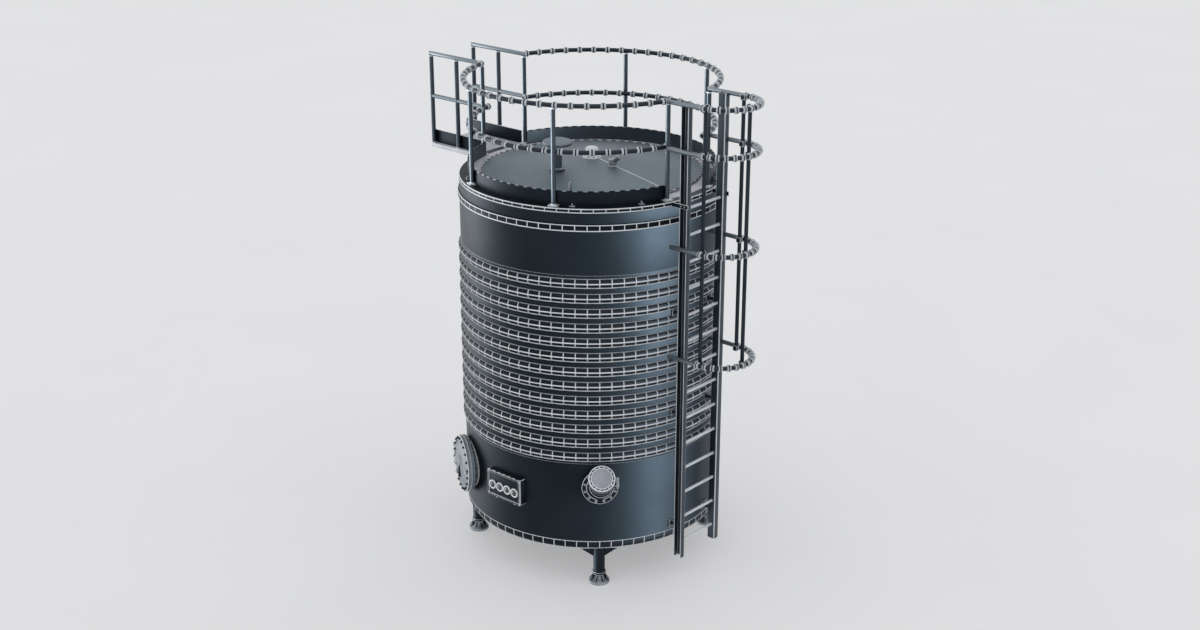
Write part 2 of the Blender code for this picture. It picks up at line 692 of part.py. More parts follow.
def main():
    clear_scene()
    axis = bpy.data.objects.new("tank_axis", None)
    axis.location = (0, axis_y, 0)
    bpy.context.collection.objects.link(axis)
    cutter = shell_cutter(axis, shell_radius + touch_gap, "cutter_shell")

    make_bottom_head(axis)
    manway_plate = make_lower_course(axis)
    make_jacket_course(axis)
    make_course("upper_course", jacket_top_z + touch_gap, flange_bottom_z, axis)
    make_top_rings(axis)
    make_deck(axis)
    make_roof(axis)
    make_roof_fittings(axis)
    make_guard_rails(axis)
    make_posts(axis)
    make_cage(axis)
    make_bridge(axis, cutter)
    make_ladder(axis, cutter)
    make_legs(axis)
    make_manway(axis, manway_plate)
    make_mixer(axis, cutter)
    make_control_box(axis, cutter)


main()
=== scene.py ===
import json
from math import acos, cos, degrees, pi, radians, sin, sqrt, tan, tau

import bmesh
import bpy
from mathutils import Matrix, Vector

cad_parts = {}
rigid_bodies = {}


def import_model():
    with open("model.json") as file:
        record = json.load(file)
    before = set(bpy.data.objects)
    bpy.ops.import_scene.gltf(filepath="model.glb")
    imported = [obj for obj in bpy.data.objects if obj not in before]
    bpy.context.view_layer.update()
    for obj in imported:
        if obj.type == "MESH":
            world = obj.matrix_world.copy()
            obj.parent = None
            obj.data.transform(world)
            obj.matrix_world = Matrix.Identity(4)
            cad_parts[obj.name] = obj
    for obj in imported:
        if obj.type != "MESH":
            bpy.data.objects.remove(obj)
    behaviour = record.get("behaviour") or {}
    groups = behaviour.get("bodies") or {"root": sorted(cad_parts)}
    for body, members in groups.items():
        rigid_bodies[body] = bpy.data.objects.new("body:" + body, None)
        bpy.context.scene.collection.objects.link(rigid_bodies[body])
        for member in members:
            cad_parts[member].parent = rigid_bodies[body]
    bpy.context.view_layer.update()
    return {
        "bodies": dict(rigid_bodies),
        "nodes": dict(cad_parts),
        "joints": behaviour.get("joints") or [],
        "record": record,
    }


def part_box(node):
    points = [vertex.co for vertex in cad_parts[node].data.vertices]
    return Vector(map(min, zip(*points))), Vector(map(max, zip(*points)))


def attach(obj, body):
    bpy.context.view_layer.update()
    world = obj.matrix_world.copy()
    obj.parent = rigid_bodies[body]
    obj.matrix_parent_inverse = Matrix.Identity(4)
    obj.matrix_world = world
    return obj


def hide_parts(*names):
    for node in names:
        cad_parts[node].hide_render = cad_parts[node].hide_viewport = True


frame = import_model()
print("frame loaded:", len(frame["nodes"]), "nodes")

# Everything is built round the tank's axis at x 0, y 0 and moved to the frame's place at the end.
# Azimuth 0 is the front (-Y), 90 the ladder (+X).
shellLow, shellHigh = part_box("lower_course")
tankAxis = Vector(((shellLow.x + shellHigh.x) / 2, (shellLow.y + shellHigh.y) / 2, 0))
shellRadius = (shellHigh.x - shellLow.x) / 2
shellWall = 0.012
roundSteps = 240
deckRange = (4.0, 4.8)  # heights between which what reaches into the drum is cut away
weldAngle = 80.0        # edges sharper than this stay sharp on weld beads
touchGap = 0.0003
onAxis = 1e-6           # a point of an outline nearer to the axis than this stands on it
frontAndBack = {"front": (-1, 0.0), "back": (1, 180.0)}         # sign of y, and azimuth


def low(name):
    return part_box(name)[0] - tankAxis


def high(name):
    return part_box(name)[1] - tankAxis


def heights(name):
    return low(name).z, high(name).z


def pick(style, *keys):
    return [style[key] for key in keys]


# Colour and node helpers. A ramp's stops are places with a hex colour or a grey value.

def hexColour(code):
    values = [int(code[place:place + 2], 16) / 255 for place in (0, 2, 4)]
    linear = [value / 12.92 if value <= 0.04045 else ((value + 0.055) / 1.055) ** 2.4 for value in values]
    return (*linear, 1.0)


def setInputs(tree, node, values):
    for socket, value in values.items():
        if isinstance(value, bpy.types.NodeSocket):
            tree.links.new(value, node.inputs[socket])
        else:
            node.inputs[socket].default_value = value


def addNode(tree, kind, values=None, **settings):
    node = tree.nodes.new(kind)
    for name, value in settings.items():
        setattr(node, name, value)
    setInputs(tree, node, values or {})
    return node


def addMath(tree, operation, first, second=0.0):
    return addNode(tree, "ShaderNodeMath", {0: first, 1: second}, operation=operation).outputs[0]


def addRamp(tree, factor, *stops):
    ramp = addNode(tree, "ShaderNodeValToRGB", {"Fac": factor})
    elements = ramp.color_ramp.elements
    while len(elements) < len(stops):
        elements.new(0.5)
    for element, (position, value) in zip(elements, stops):
        element.position = position
        element.color = hexColour(value) if isinstance(value, str) else (value, value, value, 1.0)
    return ramp.outputs["Color"]


def addNoise(tree, place, scale, detail=4.0, stretch=(1, 1, 1), roughness=0.5):
    moved = addNode(tree, "ShaderNodeMapping", {"Vector": place, "Scale": stretch}).outputs["Vector"]
    values = {"Vector": moved, "Scale": scale, "Detail": detail, "Roughness": roughness}
    return addNode(tree, "ShaderNodeTexNoise", values).outputs["Fac"]


def mixColour(tree, factor, first, second, blend="MIX"):
    return addNode(tree, "ShaderNodeMix", {0: factor, 6: first, 7: second},
                   data_type="RGBA", blend_type=blend).outputs[2]


def startMaterial(name, metallic=0.0, roughness=0.5, coat=0.0, coatRoughness=0.2):
    material = bpy.data.materials.new(name)
    material.use_nodes = True
    tree = material.node_tree
    setInputs(tree, tree.nodes["Principled BSDF"], {"Metallic": metallic, "Roughness": roughness,
                                                    "Coat Weight": coat, "Coat Roughness": coatRoughness})
    return material, tree, addNode(tree, "ShaderNodeTexCoord").outputs["Object"]


# Joins the colour, and where given the roughness and the relief, to the shader.
def endMaterial(material, colour, gloss=None, height=None, distance=0.0, strength=1.0):
    tree = material.node_tree
    values = {"Base Color": colour}
    if gloss is not None:
        values["Roughness"] = gloss
    if height is not None:
        relief = {"Height": height, "Distance": distance, "Strength": strength}
        values["Normal"] = addNode(tree, "ShaderNodeBump", relief).outputs["Normal"]
    setInputs(tree, tree.nodes["Principled BSDF"], values)
    return material


# Sprayed metallic coat on blasted steel: satin, with orange peel of a few millimetres, faint upright
# run marks, a slow change of tone, and a little dust where the surface faces up.
def makeCoat(name, dark, light, rough, dust, metallic):
    material, tree, place = startMaterial(name, metallic, rough)
    base = addRamp(tree, addNoise(tree, place, 1.3, 5.0), (0.30, dark), (0.72, light))
    runs = addNoise(tree, place, 5.0, 6.0, (1, 1, 0.10))
    streak = addRamp(tree, runs, (0.35, 0.93), (0.62, 1.0), (0.80, 1.07))
    base = mixColour(tree, 0.4, base, streak, "MULTIPLY")
    normal = addNode(tree, "ShaderNodeNewGeometry").outputs["Normal"]
    facing = addNode(tree, "ShaderNodeSeparateXYZ", {"Vector": normal}).outputs["Z"]
    settled = addMath(tree, "MULTIPLY", facing, addNoise(tree, place, 38.0, 5.0, roughness=0.7))
    film = addRamp(tree, settled, (0.12, 0.0), (0.62, dust))
    base = mixColour(tree, film, base, hexColour("A9AEB2"))
    gloss = addRamp(tree, addNoise(tree, place, 7.0, 3.0), (0.30, rough - 0.012), (0.70, rough + 0.016))
    return endMaterial(material, base, gloss, addNoise(tree, place, 190.0, 2.0), 0.00035, 0.35)


# Ground or turned metal under clear lacquer: fine scratches and a slightly milky shine.
def makeBright(name, dark, light, rough, metallic):
    material, tree, place = startMaterial(name, metallic, rough)
    base = addRamp(tree, addNoise(tree, place, 6.0, 4.0), (0.3, dark), (0.7, light))
    lines = addNoise(tree, place, 160.0, 3.0)
    base = mixColour(tree, 0.3, base, addRamp(tree, lines, (0.3, 0.78), (0.7, 1.12)), "MULTIPLY")
    gloss = addRamp(tree, lines, (0.3, rough - 0.06), (0.7, rough + 0.10))
    return endMaterial(material, base, gloss, lines, 0.0002, 0.25)


# Weld bead as laid and wire-brushed: bright steel with ripples a few millimetres apart.
def makeWeld(name, dark, light):
    material, tree, place = startMaterial(name, 0.25, 0.55)
    ripple = addNoise(tree, place, 120.0, 3.0)
    return endMaterial(material, addRamp(tree, ripple, (0.25, dark), (0.75, light)),
                       addRamp(tree, ripple, (0.3, 0.46), (0.7, 0.62)), ripple, 0.0012, 0.8)


# Anti-slip deck paint on chequer plate: matt and gritty, rubbed paler on what sticks up.
def makeDeckPaint(name, dark, light):
    material, tree, place = startMaterial(name, 0.10, 0.60)
    base = addRamp(tree, addNoise(tree, place, 4.0, 5.0), (0.3, dark), (0.7, light))
    grit = addNoise(tree, place, 420.0, 2.0)
    base = mixColour(tree, 0.35, base, addRamp(tree, grit, (0.35, 0.84), (0.65, 1.08)), "MULTIPLY")
    return endMaterial(material, base, None, grit, 0.0006, 0.5)


# Black EPDM sheet: matt, with a bloom that greys it a little.
def makeRubber(name):
    material, tree, place = startMaterial(name, 0.0, 0.75)
    bloom = addNoise(tree, place, 30.0, 4.0)
    return endMaterial(material, addRamp(tree, bloom, (0.3, "16181A"), (0.7, "24272A")), None, bloom, 0.0005, 0.3)


# Moulded polycarbonate lens: smooth and clear-coated over a cloudy grey body.
def makeLens(name, dark, light):
    material, tree, place = startMaterial(name, 0.0, 0.22, 0.6, 0.08)
    return endMaterial(material, addRamp(tree, addNoise(tree, place, 45.0, 2.0), (0.3, dark), (0.7, light)))


# Pale studio floor: matt painted screed with a very faint unevenness.
def makeFloor(name):
    material, tree, place = startMaterial(name, 0.0, 0.85)
    return endMaterial(material, addRamp(tree, addNoise(tree, place, 0.35, 3.0), (0.3, "B4B4B5"), (0.7, "B6B6B7")))


slateCoat = makeCoat("slate metallic coat", "20272D", "272F36", 0.48, 0.10, 1.0)
hoopCoat = makeCoat("hoop metallic coat", "141A20", "1B2229", 0.50, 0.05, 0.9)
# The roof's coat is the slate paint made lighter: painted light from above. The manway neck and the vent hood take it
# too.
litRoofCoat = makeCoat("roof coat painted lighter for top light", "65727C", "707D87", 0.50, 0.08, 0.7)
railCoat = makeCoat("post slate coat", "414B53", "4F5961", 0.40, 0.10, 0.9)
bentCoat = makeCoat("bent rail coat", "262E35", "323B43", 0.40, 0.10, 0.9)
paleCoat = makeCoat("straight rail coat", "7A848B", "8A949B", 0.42, 0.10, 0.8)
# Near-white steel for softened edges, thin lines and small trims: ground steel, painted brighter as an edge
# highlight.
edgeHighlightSteel = makeBright("edge steel painted as highlight", "CBD1D6", "E0E4E8", 0.55, 0.25)
couplingSteel = makeBright("cast coupling", "AEB5BB", "C4CACF", 0.50, 0.35)
flangeSteel = makeBright("brushed steel flange", "7C848B", "959DA4", 0.40, 0.65)
coverMetal = makeBright("turned aluminium cover", "92959F", "A4A7B1", 0.42, 0.50)
castCover = makeBright("cast manway cover", "626A71", "788087", 0.50, 0.40)
boltZinc = makeBright("zinc-plated bolt", "8F959B", "B8BEC3", 0.36, 0.80)
darkBolt = makeBright("blackened bolt", "14191E", "222930", 0.45, 0.80)
weldSteel = makeWeld("brushed weld bead", "BEC4C9", "DFE3E6")
dullWeld = makeWeld("painted weld bead", "8C949B", "A6ADB3")
deckPaint = makeDeckPaint("anti-slip deck paint", "B0B1B8", "C2C3C9")
treadPaint = makeDeckPaint("rubbed deck paint", "C0C2C8", "D0D2D6")
blackRubber = makeRubber("EPDM rubber")
smokedLens = makeLens("smoked lens", "23272B", "34393E")
floorPaint = makeFloor("studio floor")
print("materials made")


# Places. Azimuths are in degrees.

def shift(x=0.0, y=0.0, z=0.0):
    return Matrix.Translation((x, y, z))


def spin(turn, axis):
    return Matrix.Rotation(radians(turn), 4, axis)


# A place on the tank's axis whose +X points out at the azimuth.
def outward(azimuth, height=0.0):
    return shift(z=height) @ spin(azimuth - 90, "Z")


layDown = spin(90, "Y")         # turns Z to X
standUp = spin(90, "X")         # turns Y to Z
flip = spin(180, "X")
standAcross = Matrix(((0, 0, 1, 0), (1, 0, 0, 0), (0, 1, 0, 0), (0, 0, 0, 1)))  # a plate's (x, y, z) to (y, z, x)


def onTank(azimuth, radius, height):
    angle = radians(azimuth)
    return Vector((radius * sin(angle), -radius * cos(angle), height))


def arcPath(radius, start, end, height, steps):
    return [onTank(start + (end - start) * step / steps, radius, height) for step in range(steps + 1)]


def circlePath(radius, height, steps=180):
    return [onTank(360 * step / steps, radius, height) for step in range(steps)]


# Points of a flat arc. Turn 0 is below its centre, 90 to the right.
def arcPoints(x, y, radius, turns):
    return [(x + radius * sin(radians(turn)), y - radius * cos(radians(turn))) for turn in turns]


# Mesh helpers. A look is the place of a material in the piece's list: 0 the body, 1 its softened edges.

def startPart():
    return bmesh.new()


def movePart(part, matrix):
    bmesh.ops.transform(part, matrix=matrix, verts=part.verts)
    return part


def paintPart(part, look):
    for face in part.faces:
        face.material_index = look
    return part


# Turns a part into a mesh, or a mesh into a part. What is given is used up.
def meshOf(part, name="part"):
    mesh = bpy.data.meshes.new(name)
    part.to_mesh(mesh)
    part.free()
    return mesh


def partOf(mesh):
    part = startPart()
    part.from_mesh(mesh)
    bpy.data.meshes.remove(mesh)
    return part


def mergePart(target, part, matrix=None, look=None):
    if look is not None:
        paintPart(part, look)
    if matrix is not None:
        movePart(part, matrix)
    mesh = meshOf(part)
    target.from_mesh(mesh)
    bpy.data.meshes.remove(mesh)
    return target


def mergeMesh(target, mesh, matrix=None, look=0):
    return mergePart(target, partOf(mesh), matrix, look)


# Rounds every edge sharper than the angle and gives the rounding a look of its own. Most pieces give that look the
# near-white edge steel, a painted edge highlight.
def bevelPart(part, width, look=1, steps=2, angle=30.0):
    bmesh.ops.recalc_face_normals(part, faces=part.faces)
    sharp = [edge for edge in part.edges
             if len(edge.link_faces) == 2 and edge.calc_face_angle(0.0) > radians(angle)]
    bmesh.ops.bevel(part, geom=sharp, offset=width, segments=steps, profile=0.5, affect="EDGES",
                    material=look, clamp_overlap=True)
    return part


def boxPart(lowCorner, highCorner, bevel=0.003, look=1):
    part = startPart()
    size = [highCorner[axis] - lowCorner[axis] for axis in range(3)]
    middle = [(highCorner[axis] + lowCorner[axis]) / 2 for axis in range(3)]
    bmesh.ops.create_cube(part, size=1.0, matrix=Matrix.Translation(middle) @ Matrix.Diagonal((*size, 1.0)))
    return bevelPart(part, bevel, look) if bevel else part


# A flat plate from (x, y) points, from z 0 up to its thickness.
def platePart(outline, thickness, bevel=0.003, look=1):
    part = startPart()
    base = [part.verts.new((x, y, 0)) for x, y in outline]
    top = [part.verts.new((x, y, thickness)) for x, y in outline]
    part.faces.new(list(reversed(base)))
    part.faces.new(top)
    for index in range(len(outline)):
        after = (index + 1) % len(outline)
        part.faces.new((base[index], base[after], top[after], top[index]))
    bmesh.ops.recalc_face_normals(part, faces=part.faces)
    return bevelPart(part, bevel, look) if bevel else part


def rodPart(start, end, radius, sides=32, bevel=0.0, look=1, endRadius=None):
    part = startPart()
    start = Vector(start)
    end = Vector(end)
    turn = (end - start).to_track_quat("Z", "Y").to_matrix().to_4x4()
    bmesh.ops.create_cone(part, cap_ends=True, segments=sides, radius1=radius,
                          radius2=radius if endRadius is None else endRadius,
                          depth=(end - start).length, matrix=Matrix.Translation((start + end) / 2) @ turn)
    return bevelPart(part, bevel, look, angle=50.0) if bevel else part


# Rounds the corners of a closed (radius, height, look) outline. A corner's arc takes the edge look.
def roundCorners(outline, radius, steps=3, edgeLook=1):
    points = []
    count = len(outline)
    for index, (x, y, *looks) in enumerate(outline):
        here = Vector((x, y))
        look = looks[0] if looks else 0
        toBefore = Vector(outline[index - 1][:2]) - here
        toAfter = Vector(outline[(index + 1) % count][:2]) - here
        corner = toBefore.angle(toAfter)
        if corner > radians(165) or x < onAxis:
            points.append((here.x, here.y, look))
            continue
        reach = min(radius / tan(corner / 2), 0.45 * toBefore.length, 0.45 * toAfter.length)
        start = here + toBefore.normalized() * reach
        end = here + toAfter.normalized() * reach
        for step in range(steps + 1):
            share = step / steps
            point = start.lerp(here, share).lerp(here.lerp(end, share), share)
            points.append((point.x, point.y, edgeLook if step < steps else look))
    return points


# Turns a closed outline about Z, all the way round or along an arc.
def lathePart(outline, steps=roundSteps, start=0.0, sweep=360.0):
    part = startPart()
    full = abs(sweep) >= 360.0
    count = steps if full else steps + 1
    rings = []
    for step in range(count):
        angle = radians(start + sweep * step / steps)
        ring = []
        for index, (reach, height, *_) in enumerate(outline):
            if reach < onAxis and rings and full:
                ring.append(rings[0][index])
            else:
                ring.append(part.verts.new((reach * sin(angle), -reach * cos(angle), height)))
        rings.append(ring)
    for step in range(steps):
        near = rings[step]
        far = rings[(step + 1) % count]
        for index, (_, _, *looks) in enumerate(outline):
            after = (index + 1) % len(outline)
            corners = []
            for vertex in (near[index], far[index], far[after], near[after]):
                if vertex not in corners:
                    corners.append(vertex)
            if len(corners) > 2:
                part.faces.new(corners).material_index = looks[0] if looks else 0
    if not full:
        part.faces.new(list(reversed(rings[0])))
        part.faces.new(rings[-1])
    bmesh.ops.recalc_face_normals(part, faces=part.faces)
    return part


def turnedPart(outline, soft, steps=roundSteps, softSteps=2):
    return lathePart(roundCorners(outline, soft, softSteps), steps)


def ringPart(inner, outer, bottom, top, edge, steps=roundSteps, edgeLook=1):
    outline = [(inner, bottom), (outer, bottom), (outer, top), (inner, top)]
    return lathePart(roundCorners(outline, edge, 3, edgeLook), steps)


def discPart(radius, bottom, top, steps=roundSteps):
    return lathePart([(0, bottom), (radius, bottom), (radius, top), (0, top)], steps)


# A ring whose outer face has a bright line along its lower and its upper corner, a painted edge highlight.
def linedRing(inner, outer, bottom, top, lowLine, highLine, soft=0.004):
    return lathePart([(inner, bottom), (outer - soft, bottom, 1), (outer - soft * 0.3, bottom + soft * 0.3, 1),
                      (outer, bottom + soft, 1), (outer, bottom + lowLine), (outer, top - highLine, 1),
                      (outer, top - soft, 1), (outer - soft * 0.3, top - soft * 0.3, 1), (outer - soft, top),
                      (inner, top)])


# The outline of a strip that follows an (x, height) path on the tank's wall.
def stripOutline(path, rise):
    return [(x - 0.003, height) for x, height in path] + [(x + rise, height) for x, height in reversed(path)]


# A narrow upright bar along such a path, made at azimuth 90 for a ring run.
def wallBar(path, width, rise):
    turn = degrees(width / path[0][0])
    return movePart(lathePart(stripOutline(path, rise), 1, -turn / 2, turn), shift(-shellRadius) @ spin(90, "Z"))


# A round bar along a path. Its ends are closed and softened.
def tubePart(path, radius, sides=20, closed=False):
    part = startPart()
    points = [Vector(point) for point in path]
    count = len(points)
    rings = []
    side = None
    for index in range(count):
        ahead = points[(index + 1) % count] if closed else points[min(index + 1, count - 1)]
        behind = points[index - 1] if closed else points[max(index - 1, 0)]
        along = (ahead - behind).normalized()
        seed = side if side else (Vector((0, 0, 1)) if abs(along.z) < 0.9 else Vector((1, 0, 0)))
        side = (seed - along * seed.dot(along)).normalized()
        other = along.cross(side)
        turns = [tau * turn / sides for turn in range(sides)]
        rings.append([part.verts.new(points[index] + (side * cos(turn) + other * sin(turn)) * radius)
                      for turn in turns])
    for index in range(count if closed else count - 1):
        near = rings[index]
        far = rings[(index + 1) % count]
        for turn in range(sides):
            after = (turn + 1) % sides
            part.faces.new((near[turn], near[after], far[after], far[turn]))
    if not closed:
        ends = [part.faces.new(list(reversed(rings[0]))), part.faces.new(rings[-1])]
        rims = {edge for face in ends for edge in face.edges}
        bmesh.ops.bevel(part, geom=list(rims), offset=radius * 0.12, segments=2, profile=0.5, affect="EDGES")
    bmesh.ops.recalc_face_normals(part, faces=part.faces)
    return part


# A hexagon head on a washer, seated at z 0 and pointing up.
def hexBolt(size, stud=0.0):
    seat, top = size * 0.18, size * 0.18 + size * 0.65
    part = rodPart((0, 0, 0), (0, 0, seat), size * 1.1, 16)
    mergePart(part, rodPart((0, 0, seat), (0, 0, top), size * 0.95, 6, size * 0.12, 0))
    if stud:
        mergePart(part, rodPart((0, 0, top), (0, 0, top + stud), size * 0.5, 10, endRadius=size * 0.42))
    return part


def addBolts(part, size, places, turn=Matrix()):
    for place in places:
        mergePart(part, hexBolt(size), Matrix.Translation(place) @ turn, 2)


# A hexagonal cable gland, seated at z 0 and pointing up, that narrows twice between the four heights.
def glandPart(wide, body, narrow, heights):
    rim, shoulder, neck, end = heights
    return lathePart([(0, 0), (wide, 0), (wide, rim), (body, shoulder), (body, neck), (narrow, end), (0, end)], 6)


def linkThing(name, data):
    thing = bpy.data.objects.new(name, data)
    bpy.context.scene.collection.objects.link(thing)
    return thing


def loneObject(name, part):
    return linkThing(name, meshOf(part, name))


def evaluateMesh(thing):
    bpy.context.view_layer.update()
    mesh = bpy.data.meshes.new_from_object(thing.evaluated_get(bpy.context.evaluated_depsgraph_get()))
    bpy.data.objects.remove(thing)
    return mesh


def cutPart(part, cutter):
    thing = loneObject("blank", part)
    tool = loneObject("cutter", cutter)
    change = thing.modifiers.new("cut", "BOOLEAN")
    change.operation = "DIFFERENCE"
    change.solver = "EXACT"
    change.object = tool
    mesh = evaluateMesh(thing)
    bpy.data.objects.remove(tool)
    return partOf(mesh)


def shellCutter(bottom, top):
    return discPart(shellRadius + touchGap, bottom, top)


# Faces that stand round the tank's axis are shaded as a true cylinder, also beside a cut hole.
def setRoundNormals(mesh):
    normals = []
    for face in mesh.polygons:
        flat = Vector((face.normal.x, face.normal.y, 0))
        for index in face.vertices:
            radial = mesh.vertices[index].co - tankAxis
            radial.z = 0
            aligned = flat.length > 0.98 and abs(flat.normalized().dot(radial.normalized())) > 0.995
            side = 1 if flat.dot(radial) > 0 else -1
            normals.append(radial.normalized() * side if aligned else face.normal.copy())
    mesh.normals_split_custom_set(normals)


def finishMesh(name, mesh, looks, replaces=(), slot="slate_steel", body="tank", angle=32.0, roundShell=False):
    mesh.name = name
    for place, look in enumerate(looks):
        if place < len(mesh.materials):
            mesh.materials[place] = look
        else:
            mesh.materials.append(look)
    mesh.transform(Matrix.Translation(tankAxis))
    for face in mesh.polygons:
        face.use_smooth = True
    mesh.set_sharp_from_angle(angle=radians(angle))
    if roundShell:
        setRoundNormals(mesh)
    thing = linkThing(name, mesh)
    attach(thing, body)
    if replaces:
        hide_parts(*replaces)


def finishPiece(name, part, *rest, **more):
    finishMesh(name, meshOf(part, name), *rest, **more)


# Geometry node trees.

def startTree(name, **sockets):
    tree = bpy.data.node_groups.new(name, "GeometryNodeTree")
    for label, kind in {"Geometry": "Geometry", **sockets, "Material": "Material"}.items():
        tree.interface.new_socket(name=label, in_out="INPUT", socket_type="NodeSocket" + kind)
    tree.interface.new_socket(name="Geometry", in_out="OUTPUT", socket_type="NodeSocketGeometry")
    return tree, addNode(tree, "NodeGroupInput").outputs


def endTree(tree, geometry, given):
    real = addNode(tree, "GeometryNodeRealizeInstances", {"Geometry": geometry}).outputs[0]
    painted = addNode(tree, "GeometryNodeSetMaterial", {"Geometry": real, "Material": given["Material"]})
    addNode(tree, "NodeGroupOutput", {"Geometry": painted.outputs[0]})
    return tree


def copyShape(tree, given, points, **more):
    shape = addNode(tree, "GeometryNodeObjectInfo", {"Object": given["Shape"], "As Instance": True})
    values = {"Points": points, "Instance": shape.outputs["Geometry"], **more}
    return addNode(tree, "GeometryNodeInstanceOnPoints", values).outputs[0]


# Makes the copies real, then turns or lifts them all about or along Z.
def moveCopies(tree, copies, socket, amount):
    real = addNode(tree, "GeometryNodeRealizeInstances", {"Geometry": copies}).outputs[0]
    along = addNode(tree, "ShaderNodeCombineXYZ", {"Z": amount}).outputs[0]
    return addNode(tree, "GeometryNodeTransform", {"Geometry": real, socket: along}).outputs[0]


# Copies of one shape round Z, each with its +X pointing outwards; then the ring is turned.
def makeRingTree():
    tree, given = startTree("pieces in a ring", Shape="Object", Count="Int", Radius="Float", Turn="Float")
    circle = addNode(tree, "GeometryNodeMeshCircle", {"Vertices": given["Count"], "Radius": given["Radius"]})
    place = addNode(tree, "GeometryNodeInputPosition").outputs[0]
    aim = addNode(tree, "FunctionNodeAlignRotationToVector", {"Vector": place}, axis="X", pivot_axis="Z")
    copies = copyShape(tree, given, circle.outputs[0], Rotation=aim.outputs[0])
    return endTree(tree, moveCopies(tree, copies, "Rotation", given["Turn"]), given)


# Copies of one shape along a straight line.
def makeLineTree():
    tree, given = startTree("pieces in a line", Shape="Object", Count="Int", Start="Vector", Step="Vector")
    line = addNode(tree, "GeometryNodeMeshLine", {"Count": given["Count"], "Start Location": given["Start"],
                                                  "Offset": given["Step"]})
    return endTree(tree, copyShape(tree, given, line.outputs[0]), given)


# Copies of one shape along each curve at even spacing, with their +Z along the curve.
def makePathTree():
    tree, given = startTree("pieces along a path", Shape="Object", Spacing="Float")
    points = addNode(tree, "GeometryNodeCurveToPoints", {"Curve": given["Geometry"], "Length": given["Spacing"]},
                     mode="LENGTH").outputs
    return endTree(tree, copyShape(tree, given, points["Points"], Rotation=points["Rotation"]), given)


# A weld bead along each curve: a cord whose thickness ripples as the torch moved on.
def makeBeadTree():
    tree, given = startTree("weld bead", Width="Float", Ripple="Float", Step="Float")
    even = addNode(tree, "GeometryNodeResampleCurve", {"Curve": given["Geometry"], "Length": given["Step"]},
                   mode="LENGTH").outputs[0]
    along = addNode(tree, "GeometryNodeSplineParameter").outputs["Length"]
    wave = addMath(tree, "SINE", addMath(tree, "MULTIPLY", along, given["Ripple"]))
    thick = addMath(tree, "ADD", 1.0, addMath(tree, "MULTIPLY", wave, 0.14))
    profile = addNode(tree, "GeometryNodeCurvePrimitiveCircle", {"Resolution": 6, "Radius": given["Width"]})
    swept = addNode(tree, "GeometryNodeCurveToMesh", {"Curve": even, "Profile Curve": profile.outputs["Curve"],
                                                      "Scale": thick, "Fill Caps": True})
    return endTree(tree, swept.outputs[0], given)


# Raised lozenges of chequer plate on a square grid, leaning one way and the other by turns.
def makeTreadTree():
    tree, given = startTree("chequer lozenges", Shape="Object", Spacing="Float", Inner="Float", Outer="Float",
                            Low="Vector", High="Vector", Height="Float")
    cells = 130
    reach = addMath(tree, "MULTIPLY", given["Spacing"], cells)
    grid = addNode(tree, "GeometryNodeMeshGrid", {"Size X": reach, "Size Y": reach,
                                                  "Vertices X": cells + 1, "Vertices Y": cells + 1})
    place = addNode(tree, "GeometryNodeInputPosition").outputs[0]
    at, lowCorner, highCorner = (addNode(tree, "ShaderNodeSeparateXYZ", {"Vector": corner}).outputs
                                 for corner in (place, given["Low"], given["High"]))
    away = addNode(tree, "ShaderNodeVectorMath", {0: place}, operation="LENGTH").outputs["Value"]
    keep = addMath(tree, "MULTIPLY", addMath(tree, "GREATER_THAN", away, given["Inner"]),
                   addMath(tree, "LESS_THAN", away, given["Outer"]))
    for axis in ("X", "Y"):
        for operation, corner in (("GREATER_THAN", lowCorner), ("LESS_THAN", highCorner)):
            keep = addMath(tree, "MULTIPLY", keep, addMath(tree, operation, at[axis], corner[axis]))
    across, along = (addMath(tree, "DIVIDE", at[axis], given["Spacing"]) for axis in ("X", "Y"))
    odd = addMath(tree, "FLOORED_MODULO", addMath(tree, "ROUND", addMath(tree, "ADD", across, along)), 2.0)
    lean = addMath(tree, "SUBTRACT", addMath(tree, "MULTIPLY", odd, pi / 2), pi / 4)
    turn = addNode(tree, "ShaderNodeCombineXYZ", {"Z": lean}).outputs[0]
    copies = copyShape(tree, given, grid.outputs[0], Rotation=turn, Selection=keep)
    return endTree(tree, moveCopies(tree, copies, "Translation", given["Height"]), given)


trees = {"ring": makeRingTree(), "line": makeLineTree(), "path": makePathTree(), "bead": makeBeadTree(),
         "tread": makeTreadTree()}


# Runs a tree and gives back its plain mesh. A shape given as a part becomes an object for the run.
def runTree(kind, material, source=None, **values):
    tree = trees[kind]
    host = source or loneObject("host", startPart())
    values["Material"] = material
    if "Shape" in values:
        values["Shape"] = loneObject("shape", values["Shape"])
    change = host.modifiers.new("tree", "NODES")
    change.node_group = tree
    for item in tree.interface.items_tree:
        if item.in_out == "INPUT" and item.name in values:
            change[item.identifier] = values[item.name]
    mesh = evaluateMesh(host)
    if "Shape" in values:
        bpy.data.objects.remove(values["Shape"])
    return mesh


def ringOf(shape, count, radius, turn=0.0, material=boltZinc):
    return runTree("ring", material, Shape=shape, Count=count, Radius=float(radius), Turn=radians(turn - 90))


def lineOf(shape, count, start, step, material=edgeHighlightSteel):
    return runTree("line", material, Shape=shape, Count=count, Start=start, Step=step)


def makeCurve(paths, closed=False):
    curve = bpy.data.curves.new("path", "CURVE")
    curve.dimensions = "3D"
    for path in paths:
        spline = curve.splines.new("POLY")
        spline.points.add(len(path) - 1)
        for point, target in zip(path, spline.points):
            target.co = (*point, 1.0)
        spline.use_cyclic_u = closed
    return linkThing("path", curve)


def beadMesh(paths, width, closed=False, step=0.012, ripple=0.05):
    return runTree("bead", weldSteel, makeCurve(paths, closed), Width=width / 2, Ripple=tau / ripple, Step=step)


def pathOf(shape, paths, spacing, material, closed=False):
    return runTree("path", material, makeCurve(paths, closed), Shape=shape, Spacing=spacing)


print("node trees made")


